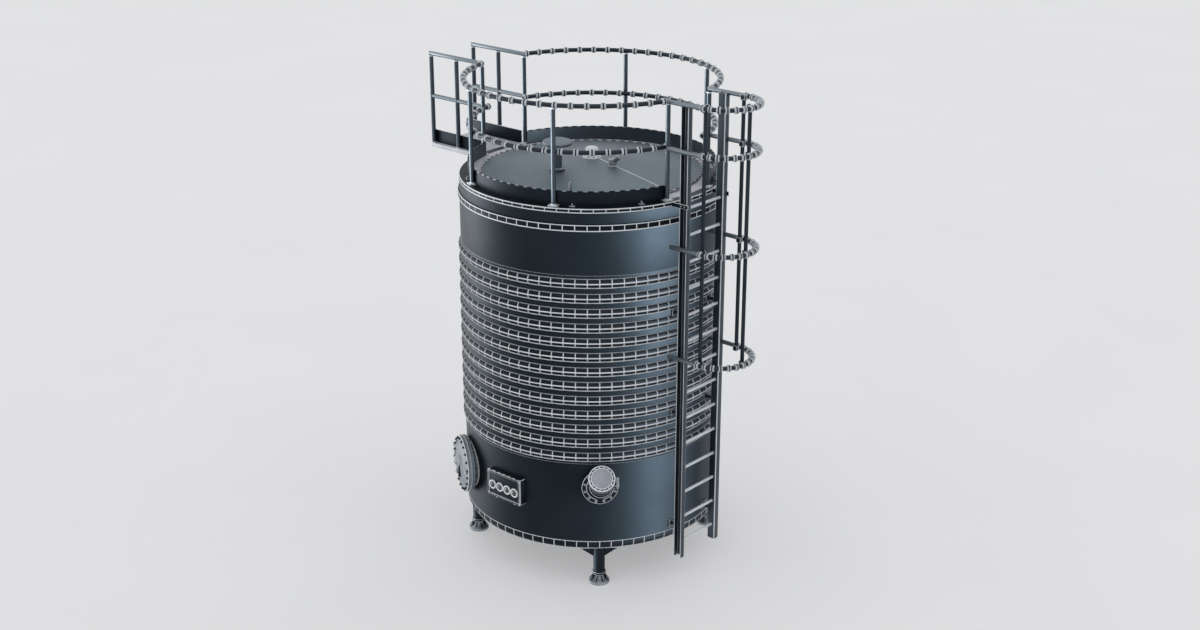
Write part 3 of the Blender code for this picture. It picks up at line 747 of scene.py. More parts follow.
# The shell: bottom head, three courses, top flange and the drum under the deck.
shellStyle = {
    "knuckle": 0.07,
    "flatInner": 1.25,
    "seamWidth": 0.010,
    "band": (0.558, 0.468),         # height of the bright lines above and on the knuckle
    "lines": (0.013, 0.009),        # width of the bright lower and upper line of the top flange
    "bars": 72,
    "barWidth": 0.009,
}


def makeCourse(node):
    part = ringPart(shellRadius - shellWall, shellRadius, *heights(node), 0.002, edgeLook=0)
    bored = node == "lower_course"
    if bored:
        hole = rodPart((1.2, 0, 0), (1.6, 0, 0), manwayStyle["neck"] + touchGap, 96)
        part = cutPart(part, movePart(hole, manwayPlace))
    finishPiece(node + "_rolled", part, [slateCoat, edgeHighlightSteel], [node, "manway_plate"] if bored else [node],
                roundShell=bored)


def makeBottomHead():
    base, rim = heights("bottom_head")
    knuckle, flat = shellStyle["knuckle"], shellStyle["flatInner"]
    centre = shellRadius - knuckle
    outline = [(0, base), (flat, rim - knuckle), *arcPoints(centre, rim, knuckle, range(0, 91, 9)),
               *arcPoints(centre, rim, knuckle - shellWall, range(90, -1, -9)),
               (flat, rim - knuckle + shellWall), (0, base + shellWall)]
    finishPiece("bottom_head_dish", lathePart(outline), [slateCoat], ["bottom_head"])


# The wall's line from the upper bright line down and round the knuckle to the lower one.
def bandPath():
    rim, knuckle = high("bottom_head").z, shellStyle["knuckle"]
    upper, lower = shellStyle["band"]
    stop = degrees(acos((rim - lower) / knuckle))
    turns = [90 + (stop - 90) * step / 5 for step in range(6)]
    return [(shellRadius, upper), *arcPoints(shellRadius - knuckle, rim, knuckle, turns)]


def makeShell():
    makeBottomHead()
    for node in ("lower_course", "upper_course", "platform_drum"):
        makeCourse(node)
    style = shellStyle
    path = bandPath()
    paths = [circlePath(path[0][0] - 0.001, path[0][1]), circlePath(path[-1][0] + 0.001, path[-1][1])]
    finishMesh("base_seams", beadMesh(paths, style["seamWidth"], True), [], slot="edge_steel", angle=weldAngle)
    finishPiece("base_band", lathePart(stripOutline(path, 0.0008)), [hoopCoat])
    finishBars("base_bars", wallBar(path, style["barWidth"], 0.0022), shellRadius)
    seams = [circlePath(shellRadius - 0.002, high(node).z) for node in ("lower_course", "jacket_course")]
    finishMesh("course_seams", beadMesh(seams, 0.006, True), [dullWeld], angle=weldAngle)

    # The top flange: a dark ring between two bright lines, tied by bright bars.
    node = "shell_top_flange"
    (bottom, top), outer = heights(node), high(node).x
    lowLine, highLine = style["lines"]
    finishPiece("shell_top_flange_lined", linedRing(outer - 0.07, outer, bottom, top, lowLine, highLine),
                [hoopCoat, edgeHighlightSteel], [node])
    bar = boxPart((-0.004, -0.0055, bottom + lowLine), (0.0015, 0.0055, top - highLine), 0.001, 0)
    finishBars("flange_bars", bar, outer)
    print("shell made")


# Short bright bars round the tank, at the shell's pitch.
def finishBars(name, bar, radius, turn=0.0):
    finishMesh(name, ringOf(bar, shellStyle["bars"], radius, turn, edgeHighlightSteel), [], slot="edge_steel")


jacketStyle = {
    "count": 13,
    "pitch": 0.167,
    "first": 1.592,
    "width": 0.10,
    "depth": high("jacket_course").x - shellRadius,
    "crest": 0.014,         # bright line along each hoop's crest
    "weldWidth": 0.014,
    "barWidth": 0.010,
}


def hoopRise(share):
    return jacketStyle["depth"] * (1 - abs(share) ** 2.6)


# Half-pipe heating hoops round the middle course, welded along both edges, with upright joint lines and a painted
# highlight strip along each crest.
def makeJacket():
    makeCourse("jacket_course")
    style = jacketStyle
    half, crest, reach = style["width"] / 2, style["crest"] / 2, shellRadius + style["depth"]
    run = style["count"], (0, 0, style["first"]), (0, 0, style["pitch"])
    outline = [(shellRadius + max(hoopRise(step / 8), 0.0005) - 0.0012, step / 8 * half * 0.985)
               for step in range(-8, 9)]
    outline = [(shellRadius - 0.003, -half), *outline, (shellRadius - 0.003, half)]
    finishMesh("heating_hoops", lineOf(lathePart(outline), *run, hoopCoat), [], angle=45.0)
    # Each hoop's crest gets a near-white strip: a painted highlight along the crest.
    strip = lathePart([(reach - 0.003, -crest), (reach - 0.0006, -crest), (reach, -crest * 0.5),
                       (reach, crest * 0.5), (reach - 0.0006, crest), (reach - 0.003, crest)])
    finishMesh("hoop_crests", lineOf(strip, *run), [], slot="edge_steel", angle=60.0)
    for label, edge, width, look in (("lower", -half + 0.001, style["weldWidth"], weldSteel),
                                     ("upper", half - 0.001, 0.011, dullWeld)):
        paths = [circlePath(shellRadius + 0.001, style["first"] + index * style["pitch"] + edge)
                 for index in range(style["count"])]
        finishMesh("hoop_welds_" + label, beadMesh(paths, width, True, 0.035, 0.14), [look], slot="edge_steel",
                   angle=weldAngle)
    path = [(shellRadius + hoopRise(share / 10), share / 10 * half) for share in (-9, -6, -3, 0, 3, 6, 9)]
    bars = ringOf(wallBar(path, style["barWidth"], 0.0004), shellStyle["bars"], shellRadius, material=edgeHighlightSteel)
    finishMesh("hoop_joints", lineOf(mergeMesh(startPart(), bars), *run), [], slot="edge_steel", angle=45.0)
    print("jacket made")


# Manway: neck, flange, gasket, and the cover that swings on its hinge.
manwayStyle = {
    "azimuth": -30.0,
    "height": 1.05,
    "neck": 0.27,
    "bore": 0.262,
    "flange": 0.33,
    "flangeDepth": 0.038,
    "innerEnd": 1.415,
    "face": 1.55,
    "gasketGap": 0.005,
    "plate": 0.035,
    "rise": 0.025,
    "dome": 0.245,
    "bolts": 20,
    "boltCircle": 0.300,
    "boltSize": 0.0155,
    "hinge": (1.5725, -0.38),
    "pin": 0.010,
    "handle": 0.27,
}
manwayPlace = outward(manwayStyle["azimuth"], manwayStyle["height"])


def makeManway():
    style = manwayStyle
    face, neck, bore, flange = pick(style, "face", "neck", "bore", "flange")
    size, pin, end = pick(style, "boltSize", "pin", "innerEnd")
    back = face - style["flangeDepth"]
    boltRing = style["bolts"], style["boltCircle"], 7.5
    # The neck and its flange take the lighter roof coat, a painted lighter tone where light falls on them.
    part = turnedPart([(bore, end), (neck, end), (neck, back), (flange, back), (flange, face), (bore, face)],
                      0.005, 128, 3)
    nut = rodPart((0, 0, 0), (0, 0, 0.014), size * 0.95, 6, 0.0015, 0)
    mergePart(nut, rodPart((0, 0, 0.014), (0, 0, 0.024), size * 0.5, 10))
    mergeMesh(part, ringOf(nut, *boltRing), shift(z=back) @ flip, 2)
    movePart(part, manwayPlace @ layDown)
    finishPiece("manway_neck_flanged", part, [litRoofCoat, edgeHighlightSteel, darkBolt], ["manway_neck", "manway_flange"])

    foot = neck + 0.002
    saddle = []
    for step in range(96):
        angle = tau * step / 96
        across, up = foot * cos(angle), foot * sin(angle)
        saddle.append(manwayPlace @ Vector((sqrt(shellRadius ** 2 - across ** 2) + 0.002, across, up)))
    finishMesh("manway_saddle_weld", beadMesh([saddle], 0.016, True), [], slot="edge_steel", angle=weldAngle)

    # The cover: a flat rim with a dished middle, its arm, the barrel round the pin, bolts and a turned knob.
    bottom = face + style["gasketGap"]
    top, reach = bottom + style["plate"], style["dome"]
    dome = [(reach * sin(radians(turn)), top + style["rise"] * (cos(radians(turn)) ** 1.6))
            for turn in range(84, -1, -7)]
    part = turnedPart([(0, bottom), (flange, bottom), (flange, top), (reach + 0.007, top), *dome], 0.006, 128, 3)
    mergeMesh(part, ringOf(hexBolt(size, 0.008), *boltRing), shift(z=top), 2)
    knob = lathePart([(0, 0.0), (0.020, 0.0), (0.020, 0.004), (0.011, 0.009), (0.010, 0.030), (0.0115, 0.036),
                      (0.0165, 0.041), (0.0185, 0.047), (0.0165, 0.053), (0.009, 0.0575), (0, 0.0585)], 24)
    bmesh.ops.scale(knob, vec=(1.0, 1.0, 0.55), verts=knob.verts)
    mergePart(part, knob, shift(y=style["handle"], z=top - 0.005), 3)
    movePart(part, layDown)
    # A ring handle stands upright on the dish, with a dark latch bar below it and two swing lugs at the rim.
    ringPath = [Vector((top + 0.030 + 0.055 * cos(tau * turn / 40), 0, 0.045 + 0.062 * sin(tau * turn / 40)))
                for turn in range(40)]
    mergePart(part, tubePart(ringPath, 0.0105, 12, True), None, 1)
    mergePart(part, boxPart((top + 0.004, -0.014, -0.165), (top + 0.040, 0.014, -0.030), 0.004), None, 2)
    for z in (-0.20, 0.20):
        mergePart(part, boxPart((top - 0.004, -0.250, z - 0.016), (top + 0.016, -0.190, z + 0.016), 0.004))
    hingeX, hingeY = style["hinge"]
    mergePart(part, ringPart(pin + 0.0008, 0.0158, -0.065, 0.065, 0.0015, 32), shift(hingeX, hingeY))
    mergePart(part, boxPart((bottom + 0.002, hingeY + 0.012, -0.065), (top - 0.002, -0.310, 0.065), 0.003))
    mergePart(part, boxPart((top - 0.004, -0.325, -0.055), (top + 0.008, -0.283, 0.055), 0.003))
    movePart(part, manwayPlace)
    finishPiece("manway_cover_dished", part, [castCover, edgeHighlightSteel, darkBolt, coverMetal], ["manway_door"],
                body="manway_cover")
    gasket = ringPart(bore + 0.002, style["boltCircle"] - 0.018, face + touchGap, bottom - touchGap, 0.001, 96, 0)
    movePart(gasket, manwayPlace @ layDown)
    finishPiece("manway_gasket", gasket, [blackRubber], slot="rail_steel", body="manway_cover")

    # The hinge: two eared plates on a strip at the flange's rim, and the headed pin.
    strip = -(flange + touchGap)
    part = boxPart((face - 0.033, strip - 0.012, -0.095), (face - 0.003, strip, 0.095), 0.002)
    ear = [(face - 0.028, strip - 0.004), (face - 0.028, hingeY + 0.004),
           *arcPoints(hingeX, hingeY, 0.026, range(-70, 111, 20)), (face, strip - 0.004)]
    for base in (-0.09, 0.072):
        mergePart(part, platePart(ear, 0.018, 0.002), shift(z=base))
    mergePart(part, rodPart((hingeX, hingeY, -0.098), (hingeX, hingeY, 0.098), pin, 24, 0.0015))
    for end in (-0.1, 0.094):
        mergePart(part, rodPart((hingeX, hingeY, end), (hingeX, hingeY, end + 0.006), pin * 1.5, 24, 0.001))
    movePart(part, manwayPlace)
    finishPiece("manway_hinge_eared", part, [flangeSteel, edgeHighlightSteel], ["manway_hinge"], "edge_steel")
    print("manway made")


# Side mixer: bolted wall flange, ribbed lantern, finned motor, fan cowl and terminal box.
mixerStyle = {
    "azimuth": 45.0,
    "height": 1.25,
    "pitch": 42.0,
    "flangeRadius": 0.20,
    "flangeFace": 1.535,
    "wallBolts": 12,
    "lantern": (0.088, 0.125),
    "motor": 0.105,
    "motorEnds": (0.20, 0.42),      # along the mixer's axis
    "ribs": 8,
    "fins": 32,
    "cowl": 0.145,
    "cowlEnd": 0.52,
    "cowlScrews": 16,
    "cowlSlots": 48,
}


def makeMixer():
    style = mixerStyle
    place = outward(style["azimuth"], style["height"])
    face, radius = style["flangeFace"], style["flangeRadius"]
    near, far = style["motorEnds"]
    tilt = place @ shift(face - 0.03, 0, -0.06) @ spin(-style["pitch"], "Y")
    axis = tilt @ layDown

    part = turnedPart([(0, 1.42), (radius - 0.03, 1.42), (radius - 0.03, face - 0.028), (radius, face - 0.028),
                       (radius, face - 0.004), (0.15, face - 0.004), (0.146, face), (0, face)], 0.006, 96, 3)
    part = cutPart(movePart(part, place @ layDown), shellCutter(0.6, 1.8))
    bolts = ringOf(hexBolt(0.015, 0.006), style["wallBolts"], radius - 0.03, 15)
    mergeMesh(part, bolts, place @ layDown @ shift(z=face - 0.004), 2)
    finishPiece("mixer_wall_flange_bolted", part, [slateCoat, edgeHighlightSteel, boltZinc], ["mixer_wall_flange"],
                "edge_steel")

    waist, flare = style["lantern"]
    part = turnedPart([(0, -0.05), (waist, -0.05), (waist, 0.05), (waist - 0.016, 0.065), (waist - 0.016, 0.150),
                       (waist, 0.170), (flare, 0.175), (flare, near), (0, near)], 0.004, 64)
    block = boxPart((1.2, -0.3, -0.3), (face + touchGap, 0.3, 0.3), 0)
    part = cutPart(movePart(part, axis), movePart(block, place))
    rib = boxPart((-0.022, -0.006, 0.060), (0.001, 0.006, 0.172), 0.002)
    mergeMesh(part, ringOf(rib, style["ribs"], waist, material=slateCoat), axis)
    mergeMesh(part, ringOf(hexBolt(0.011), style["ribs"], flare - 0.016, 22.5), axis @ shift(z=0.175) @ flip, 2)
    finishPiece("mixer_lantern_ribbed", part, [slateCoat, edgeHighlightSteel, boltZinc], ["mixer_lantern"])

    bottom, top, body = near + touchGap, far, style["motor"]
    part = turnedPart([(0, bottom), (body, bottom), (body, bottom + 0.016), (body - 0.014, bottom + 0.022),
                       (body - 0.014, top - 0.022), (body, top - 0.016), (body, top), (0, top)], 0.002, 96)
    fin = boxPart((-0.016, -0.0018, bottom + 0.014), (-0.0005, 0.0018, top - 0.014), 0.0008, 1)
    mergeMesh(part, ringOf(fin, style["fins"], body, 360 / style["fins"] / 2, slateCoat))
    finishPiece("mixer_motor_finned", movePart(part, axis), [slateCoat, edgeHighlightSteel], ["mixer_motor"])

    # The cowl's end is a plain turned disc inside two bright rings with a dark groove between them.
    bottom, top, cowl = far + touchGap, style["cowlEnd"], style["cowl"]
    outline = [(0, bottom), (cowl - 0.004, bottom, 0), (cowl - 0.004, bottom + 0.012), (cowl, bottom + 0.016),
               (cowl, top - 0.014, 1), (cowl, top - 0.004, 1), (cowl - 0.004, top, 1), (cowl - 0.013, top, 3),
               (cowl - 0.015, top - 0.008, 3), (cowl - 0.024, top - 0.008, 3), (cowl - 0.026, top - 0.001, 1),
               (cowl - 0.036, top - 0.001, 3), (cowl - 0.037, top - 0.006, 2), (0, top - 0.004, 2)]
    part = lathePart(outline, 128)
    mergeMesh(part, ringOf(hexBolt(0.007), style["cowlScrews"], cowl - 0.0195, 11.25), shift(z=top - 0.0085), 1)
    slot = boxPart((-0.004, -0.003, bottom + 0.028), (0.001, 0.003, top - 0.024), 0.001, 0)
    mergeMesh(part, ringOf(slot, style["cowlSlots"], cowl, material=hoopCoat), None, 3)
    finishPiece("mixer_fan_cowl_turned", movePart(part, axis), [flangeSteel, edgeHighlightSteel, coverMetal, hoopCoat],
                ["mixer_fan_cowl"], "edge_steel")

    part = boxPart((0.262, body + touchGap, -0.048), (0.378, 0.168, 0.048), 0.005)
    mergePart(part, boxPart((0.26, 0.170, -0.05), (0.38, 0.190, 0.05), 0.007))
    mergePart(part, boxPart((0.266, 0.164, -0.044), (0.374, 0.174, 0.044), 0))
    addBolts(part, 0.0042, [(x, 0.1898, z) for x in (0.270, 0.370) for z in (-0.040, 0.040)], spin(-90, "X"))
    gland = glandPart(0.015, 0.012, 0.007, (0.008, 0.010, 0.018, 0.022))
    mergePart(part, gland, shift(0.32, 0.135, -0.047) @ flip, 2)
    finishPiece("mixer_terminal_box_lidded", movePart(part, tilt), [slateCoat, edgeHighlightSteel, boltZinc],
                ["mixer_terminal_box"])
    print("mixer made")


# Control box: folded enclosure with a framed door, round bezels, door screws and two cable glands.
boxStyle = {
    "middle": 0.045,
    "height": 1.08,
    "width": 0.50,
    "tall": 0.305,
    "front": 1.536,
    "back": 1.43,
    "frame": 0.024,
    "leaves": 6,
    "leafPitch": 0.078,
    "glands": (1.50, 0.14),         # reach, and distance to either side of the middle
    "bezels": 4,
    "bezelPitch": 0.112,
    "bezelRadius": 0.053,
    "bezelDrop": 0.015,
}


def makeControlBox():
    style = boxStyle
    place = shift(style["middle"]) @ outward(0.0, style["height"])
    half, tall, front, frame = style["width"] / 2, style["tall"] / 2, style["front"], style["frame"]
    part = boxPart((style["back"], -half, -tall), (front - 0.012, half, tall), 0.006)
    part = cutPart(movePart(part, place), shellCutter(0.6, 1.5))
    wide, rise = half - 0.004, tall - 0.004
    trim = boxPart((front - 0.014, -wide, -rise), (front - 0.006, wide, rise), 0.003, 0)
    for y0, z0, y1, z1 in ((-half, tall - frame, half, tall), (-half, -tall, half, -tall + frame),
                           (-half, -tall + frame, -half + frame, tall - frame),
                           (half - frame, -tall + frame, half, tall - frame)):
        mergePart(trim, boxPart((front - 0.010, y0, z0), (front, y1, z1), 0.0045))
    # Short dark hinge leaves and locks along the door's upper edge.
    for index in range(style["leaves"]):
        y = (index - (style["leaves"] - 1) / 2) * style["leafPitch"]
        mergePart(trim, boxPart((front - 0.030, y - 0.014, tall - 0.004), (front - 0.002, y + 0.014, tall + 0.0035),
                                0.0012, 0))
    for index in range(style["bezels"]):
        y = (index - (style["bezels"] - 1) / 2) * style["bezelPitch"]
        mergePart(trim, bezelPart(style["bezelRadius"]), shift(front, y, -style["bezelDrop"]) @ layDown)
    addBolts(trim, 0.006, [(front - 0.0005, y, z) for y in (-half + 0.012, half - 0.012)
                           for z in (-tall + 0.012, tall - 0.012)], layDown)
    reach, side = style["glands"]
    for y in (-side, side):
        gland = glandPart(0.019, 0.015, 0.009, (0.010, 0.013, 0.026, 0.031))
        mergePart(trim, gland, shift(reach, y, -tall) @ flip, 2)
    mergePart(part, trim, place)
    finishPiece("control_box_framed", part, [slateCoat, edgeHighlightSteel, boltZinc, hoopCoat, smokedLens], ["control_box"])
    print("control box made")


# A bright round bezel with a dark groove and a smoked lens.
def bezelPart(radius):
    outline = [(radius - 0.017, -0.012), (radius, -0.012), (radius, 0.008), (radius - 0.004, 0.012),
               (radius - 0.012, 0.012), (radius - 0.017, 0.006)]
    part = paintPart(turnedPart(outline, 0.0012, 48), 1)
    groove, lens = radius - 0.016, radius - 0.027
    mergePart(part, discPart(groove, -0.01, 0.003, 40), None, 3)
    return mergePart(part, lathePart([(0, -0.01), (lens, -0.01), (lens, 0.006), (lens - 0.005, 0.0095),
                                      (lens - 0.014, 0.0115), (0, 0.0118)], 40), None, 4)


# Legs with their gussets, and ribbed bell feet.
legStyle = {
    "circle": 1.364,
    "tube": 0.065,
    "plateTop": 0.4497,
    "plateHalf": 0.235,
    "plate": 0.012,
    "wing": (0.222, 0.06, 0.315),   # half width at the top, half width below, height below
    "foot": 0.1175,
    "footTop": 0.11,
    "ribs": 8,
    "azimuths": {"front_right": 45.0, "back_right": 135.0, "back_left": 225.0, "front_left": 315.0},
}


def legPart():
    style = legStyle
    circle, top, half = style["circle"], style["plateTop"], style["plateHalf"]
    bottom = top - style["plate"]
    part = boxPart((circle - 0.08, -half, bottom), (circle + 0.045, half, top), 0.003)
    wide, narrow, heel = style["wing"]
    wing = [(-wide, bottom + 0.004), (-wide, bottom - 0.012), (-narrow, heel), (narrow, heel),
            (wide, bottom - 0.012), (wide, bottom + 0.004)]
    mergePart(part, platePart(wing, 0.012, 0.0025), shift(circle - 0.006) @ standAcross)
    fin = [(circle - 0.078, bottom + 0.004), (circle - 0.078, bottom - 0.012), (circle - 0.05, heel + 0.03),
           (circle + 0.05, heel + 0.03), (circle + 0.043, bottom - 0.012), (circle + 0.043, bottom + 0.004)]
    mergePart(part, platePart(fin, 0.012, 0.0025), shift(y=0.006) @ standUp)
    mergePart(part, rodPart((circle, 0, 0.125), (circle, 0, bottom + 0.004), style["tube"], 48))
    return mergePart(part, ringPart(0.0, style["tube"] + 0.0125, style["footTop"], 0.137, 0.003, 48), shift(circle))


def footPart():
    foot, top = legStyle["foot"], legStyle["footTop"] - touchGap
    part = turnedPart([(0, 0.006), (foot, 0.006), (foot, 0.022), (0.105, 0.034), (0.082, 0.048), (0.064, 0.060),
                       (0.055, 0.075), (0.052, top), (0, top)], 0.003, 64)
    rib = platePart([(-0.066, 0.030), (-0.002, 0.014), (-0.002, 0.024), (-0.050, 0.090), (-0.066, 0.090)],
                    0.008, 0.0015)
    ribs = ringOf(movePart(rib, shift(y=0.004) @ standUp), legStyle["ribs"], foot, 22.5, slateCoat)
    mergeMesh(part, ribs, None, 2)
    return mergePart(part, discPart(foot - 0.001, 0.0, 0.006, 64))


def makeLegs():
    circle, half, seam = legStyle["circle"], legStyle["plateHalf"], legStyle["plateTop"]
    paths = []
    for label, azimuth in legStyle["azimuths"].items():
        place = outward(azimuth)
        finishPiece("leg_gusseted_" + label, movePart(legPart(), place), [slateCoat, edgeHighlightSteel], ["leg_" + label])
        finishPiece("foot_ribbed_" + label, movePart(footPart(), place @ shift(circle)),
                    [flangeSteel, edgeHighlightSteel, slateCoat], ["foot_" + label], "edge_steel")
        paths.append([place @ Vector((circle + 0.048, -half + 2 * half * step / 12, seam - 0.002))
                      for step in range(13)])
    finishMesh("leg_plate_welds", beadMesh(paths, 0.012), [], slot="edge_steel", angle=weldAngle)
    print("legs made")


# Deck ring with chequer plate, toe boards and the cone roof.
deckStyle = {
    "roofGap": 1.2289,
    "ledge": 0.04,
    "plate": 0.012,
    "treadPitch": 0.036,
    "toe": (1.3647, 1.3747),
    "dash": 0.062,                  # length of the dark clips on the toe boards' and the roof's edge
    "dashPitch": 0.108,
}
roofStyle = {
    "radius": 1.2286,
    "edge": 4.433,
    "skirt": 4.3723,
    "capSeat": (0.12, 4.566),
    "plate": 0.008,
    "seams": (84.0, 264.0),
    "vent": (-0.03, -0.53),
    "ventSlats": 40,
    "flangeBolts": 8,               # on the centre cap and on the vent's flange
    "inlet": (0.35, -0.05),
    "lug": (29.0, 1.03),            # azimuth and reach
}


# Chequer lozenges on a plate's top, between two radii and two corners.
def finishTreads(name, inner, outer, lowCorner, highCorner, top):
    tread = platePart([(-0.013, 0), (-0.006, -0.0035), (0.006, -0.0035), (0.013, 0), (0.006, 0.0035),
                       (-0.006, 0.0035)], 0.0022, 0)
    treads = runTree("tread", treadPaint, Shape=tread, Spacing=deckStyle["treadPitch"], Inner=inner, Outer=outer,
                     Low=lowCorner, High=highCorner, Height=top - 0.0004)
    finishPiece(name, mergeMesh(startPart(), treads), [treadPaint], slot="deck_steel")


# Dark clips along the given edges.
def finishClips(name, half, paths, closed=False):
    dash = deckStyle["dash"] / 2
    clip = boxPart((-half, -half, -dash), (half, half, dash), 0.001, 0)
    finishMesh(name, pathOf(clip, paths, deckStyle["dashPitch"], hoopCoat, closed), [])


def makeDeck():
    style = deckStyle
    bottom, top = heights("deck_ring")
    side, plate = style["roofGap"], style["plate"]
    inner, outer = style["toe"]
    ledge = roofStyle["skirt"] - touchGap
    skirt = shellRadius - shellWall
    soft = 0.004
    outline = [(shellRadius - soft, bottom, 1), (shellRadius, bottom + soft, 1), (shellRadius, bottom + 0.013, 2),
               (shellRadius, top - 0.010, 1), (shellRadius, top - soft, 1), (shellRadius - soft, top, 1),
               (shellRadius - 0.009, top, 2), (outer, top), (side, top), (side, ledge),
               (side - style["ledge"], ledge), (side - style["ledge"], bottom), (side + plate, bottom),
               (side + plate, top - plate), (skirt, top - plate, 2), (skirt, bottom, 2)]
    finishPiece("deck_ring_plate", lathePart(outline), [deckPaint, edgeHighlightSteel, slateCoat], ["deck_ring"], "deck_steel")
    bar = boxPart((-0.004, -0.005, bottom + 0.012), (0.0013, 0.005, top - 0.009), 0.001, 0)
    finishBars("deck_edge_bars", bar, shellRadius, 2.5)
    finishTreads("deck_treads_inner", side + 0.028, inner - 0.016, (-3.0, -3.0, 0.0), (3.0, 3.0, 0.0), top)

    # Toe boards with bright upper edges painted as edge highlights, dark clips along them, and small bright feet on
    # the deck. Each board's inner face is painted in the lighter post coat, as painted light on a face the slate
    # leaves too dark.
    stop = degrees(acos(ladderStyle["outer"] / outer))
    rims = []
    feet = startPart()
    for label, (_, turn) in frontAndBack.items():
        node = "toe_board_" + label
        bottom, top = heights(node)
        # Look 2, the inner face, is the lighter post coat: painted light.
        outline = [(inner, bottom), (outer, bottom), (outer, top - 0.009, 1), (outer, top - 0.002, 1),
                   (outer - 0.002, top, 1), (inner + 0.002, top, 1), (inner, top - 0.002, 1), (inner, top - 0.008, 2)]
        finishPiece(node + "_rolled", lathePart(outline, 160, turn - stop, 2 * stop),
                    [slateCoat, flangeSteel, railCoat], [node])
        rims.append(arcPath((inner + outer) / 2, turn - stop + 2, turn + stop - 2, top - 0.0045, 96))
        for offset in (-63.5, -33.5, 33.5, 63.5):
            foot = boxPart((outer + 0.002, -0.028, bottom), (outer + 0.045, 0.028, bottom + 0.010), 0.003)
            mergePart(foot, boxPart((outer + 0.0005, -0.005, bottom), (outer + 0.038, 0.005, bottom + 0.035), 0.002))
            mergePart(feet, foot, outward(turn + offset))
    finishPiece("toe_board_feet", feet, [flangeSteel, edgeHighlightSteel], slot="edge_steel")
    finishClips("toe_board_clips", 0.0056, rims)
    print("deck made")


def coneHeight(radius):
    inner, top = roofStyle["capSeat"]
    return top - (radius - inner) * (top - roofStyle["edge"]) / (roofStyle["radius"] - inner)


# Cuts away what reaches below the roof's surface.
def cutByRoof(part):
    seat, top = roofStyle["capSeat"]
    radius, edge = roofStyle["radius"], roofStyle["edge"]
    return cutPart(part, lathePart([(0, 4.0), (radius, 4.0), (radius, edge + touchGap), (seat, top + touchGap),
                                    (0, top + touchGap)]))


def makeRoof():
    style = roofStyle
    radius, edge, skirt, plate = pick(style, "radius", "edge", "skirt", "plate")
    seat, top = style["capSeat"]
    outline = [(radius, skirt), (radius, edge), (seat, top), (0, top), (0, top - plate), (seat, top - plate),
               (radius - shellWall, edge - plate), (radius - shellWall, skirt)]
    finishPiece("roof_cone_plate", turnedPart(outline, 0.006, roundSteps, 3), [litRoofCoat, edgeHighlightSteel],
                ["roof_cone"], "roof_steel")
    paths = [[onTank(azimuth, reach, coneHeight(reach) + 0.001) for reach in (0.13, 0.6, radius - 0.008)]
             for azimuth in style["seams"]]
    rims = [circlePath(radius - 0.004, edge + 0.0005), circlePath(0.102, coneHeight(seat), 48)]
    part = mergeMesh(startPart(), beadMesh(paths, 0.013))
    mergeMesh(part, beadMesh(rims, 0.010, True))
    finishPiece("roof_seams", part, [weldSteel], slot="edge_steel", angle=weldAngle)
    finishClips("roof_rim_clips", 0.0045, [circlePath(radius - 0.004, edge + 0.003)], True)

    base = low("centre_cap").z
    outline = [(0, base), (0.095, base), (0.095, base + 0.012), (0.075, base + 0.012), (0.075, base + 0.085),
               (0.070, base + 0.100), (0.055, base + 0.112), (0.030, base + 0.118), (0, base + 0.118)]
    part = turnedPart(outline, 0.003, 64)
    mergeMesh(part, ringOf(hexBolt(0.0065), style["flangeBolts"], 0.085, 11), shift(z=base + 0.012), 2)
    finishPiece("centre_cap_domed", part, [edgeHighlightSteel, edgeHighlightSteel, darkBolt], ["centre_cap"], "edge_steel")

    # Vent: bolted base, pipe, a mesh band of slats and a round hood.
    place = shift(*style["vent"])
    bottom, rim, end = 4.46, 4.545, 4.80
    part = turnedPart([(0, bottom), (0.084, bottom), (0.084, rim), (0.052, rim), (0.052, end), (0, end)], 0.003, 64)
    part = cutByRoof(movePart(part, place))
    mergeMesh(part, ringOf(hexBolt(0.006), style["flangeBolts"], 0.068), place @ shift(z=rim), 2)
    finishPiece("vent_pipe_flanged", part, [railCoat, edgeHighlightSteel, darkBolt], ["vent_pipe"])
    # The hood takes the lighter roof coat, painted light from above.
    base = low("vent_hood").z
    outline = [(0, base), (0.152, base), (0.160, base + 0.003), (0.160, base + 0.036), (0.152, base + 0.047),
               (0.132, base + 0.055), (0.09, base + 0.059), (0, base + 0.06)]
    part = turnedPart(outline, 0.002, 96)
    slat = boxPart((-0.003, -0.004, base + 0.008), (0.0028, 0.004, base + 0.030), 0.001, 0)
    mergeMesh(part, ringOf(slat, style["ventSlats"], 0.1575, material=slateCoat), None, 2)
    finishPiece("vent_hood_slatted", movePart(part, place), [litRoofCoat, edgeHighlightSteel, slateCoat], ["vent_hood"],
                "edge_steel")

    # Angled inlet: a stub through the roof with a capped spout.
    x, y = style["inlet"]
    part = cutByRoof(rodPart((x, y, 4.45), (x, y, 4.62), 0.045, 48, 0.004))
    mergePart(part, rodPart((0.345, y, 4.585), (0.447, y, 4.6565), 0.033, 48, 0.002))
    mergePart(part, rodPart((0.440, y, 4.6515), (0.4595, y, 4.6647), 0.036, 48, 0.003))
    turns = [360 * step / 32 for step in range(32)]
    seam = [Vector((*point, coneHeight(x) + 0.003)) for point in arcPoints(x, y, 0.046, turns)]
    mergeMesh(part, beadMesh([seam], 0.009, True), None, 2)
    finishPiece("roof_inlet_spouted", part, [flangeSteel, edgeHighlightSteel, weldSteel], ["roof_inlet"], "edge_steel")

    # Lifting lug: a shaped plate with a drilled eye.
    outline = [(-0.07, -0.1), (0.07, -0.1), (0.07, 0.02), *arcPoints(0, 0.055, 0.045, range(100, 261, 20)),
               (-0.07, 0.02)]
    lug = cutPart(platePart(outline, 0.012, 0.0025), rodPart((0, 0.055, -0.1), (0, 0.055, 0.1), 0.019, 32))
    azimuth, reach = style["lug"]
    lug = cutByRoof(movePart(lug, outward(azimuth, 4.47) @ shift(reach, 0.006) @ standUp))
    finishPiece("roof_lug_drilled", lug, [flangeSteel, edgeHighlightSteel], ["roof_lifting_lug"], "edge_steel")
    print("roof made")


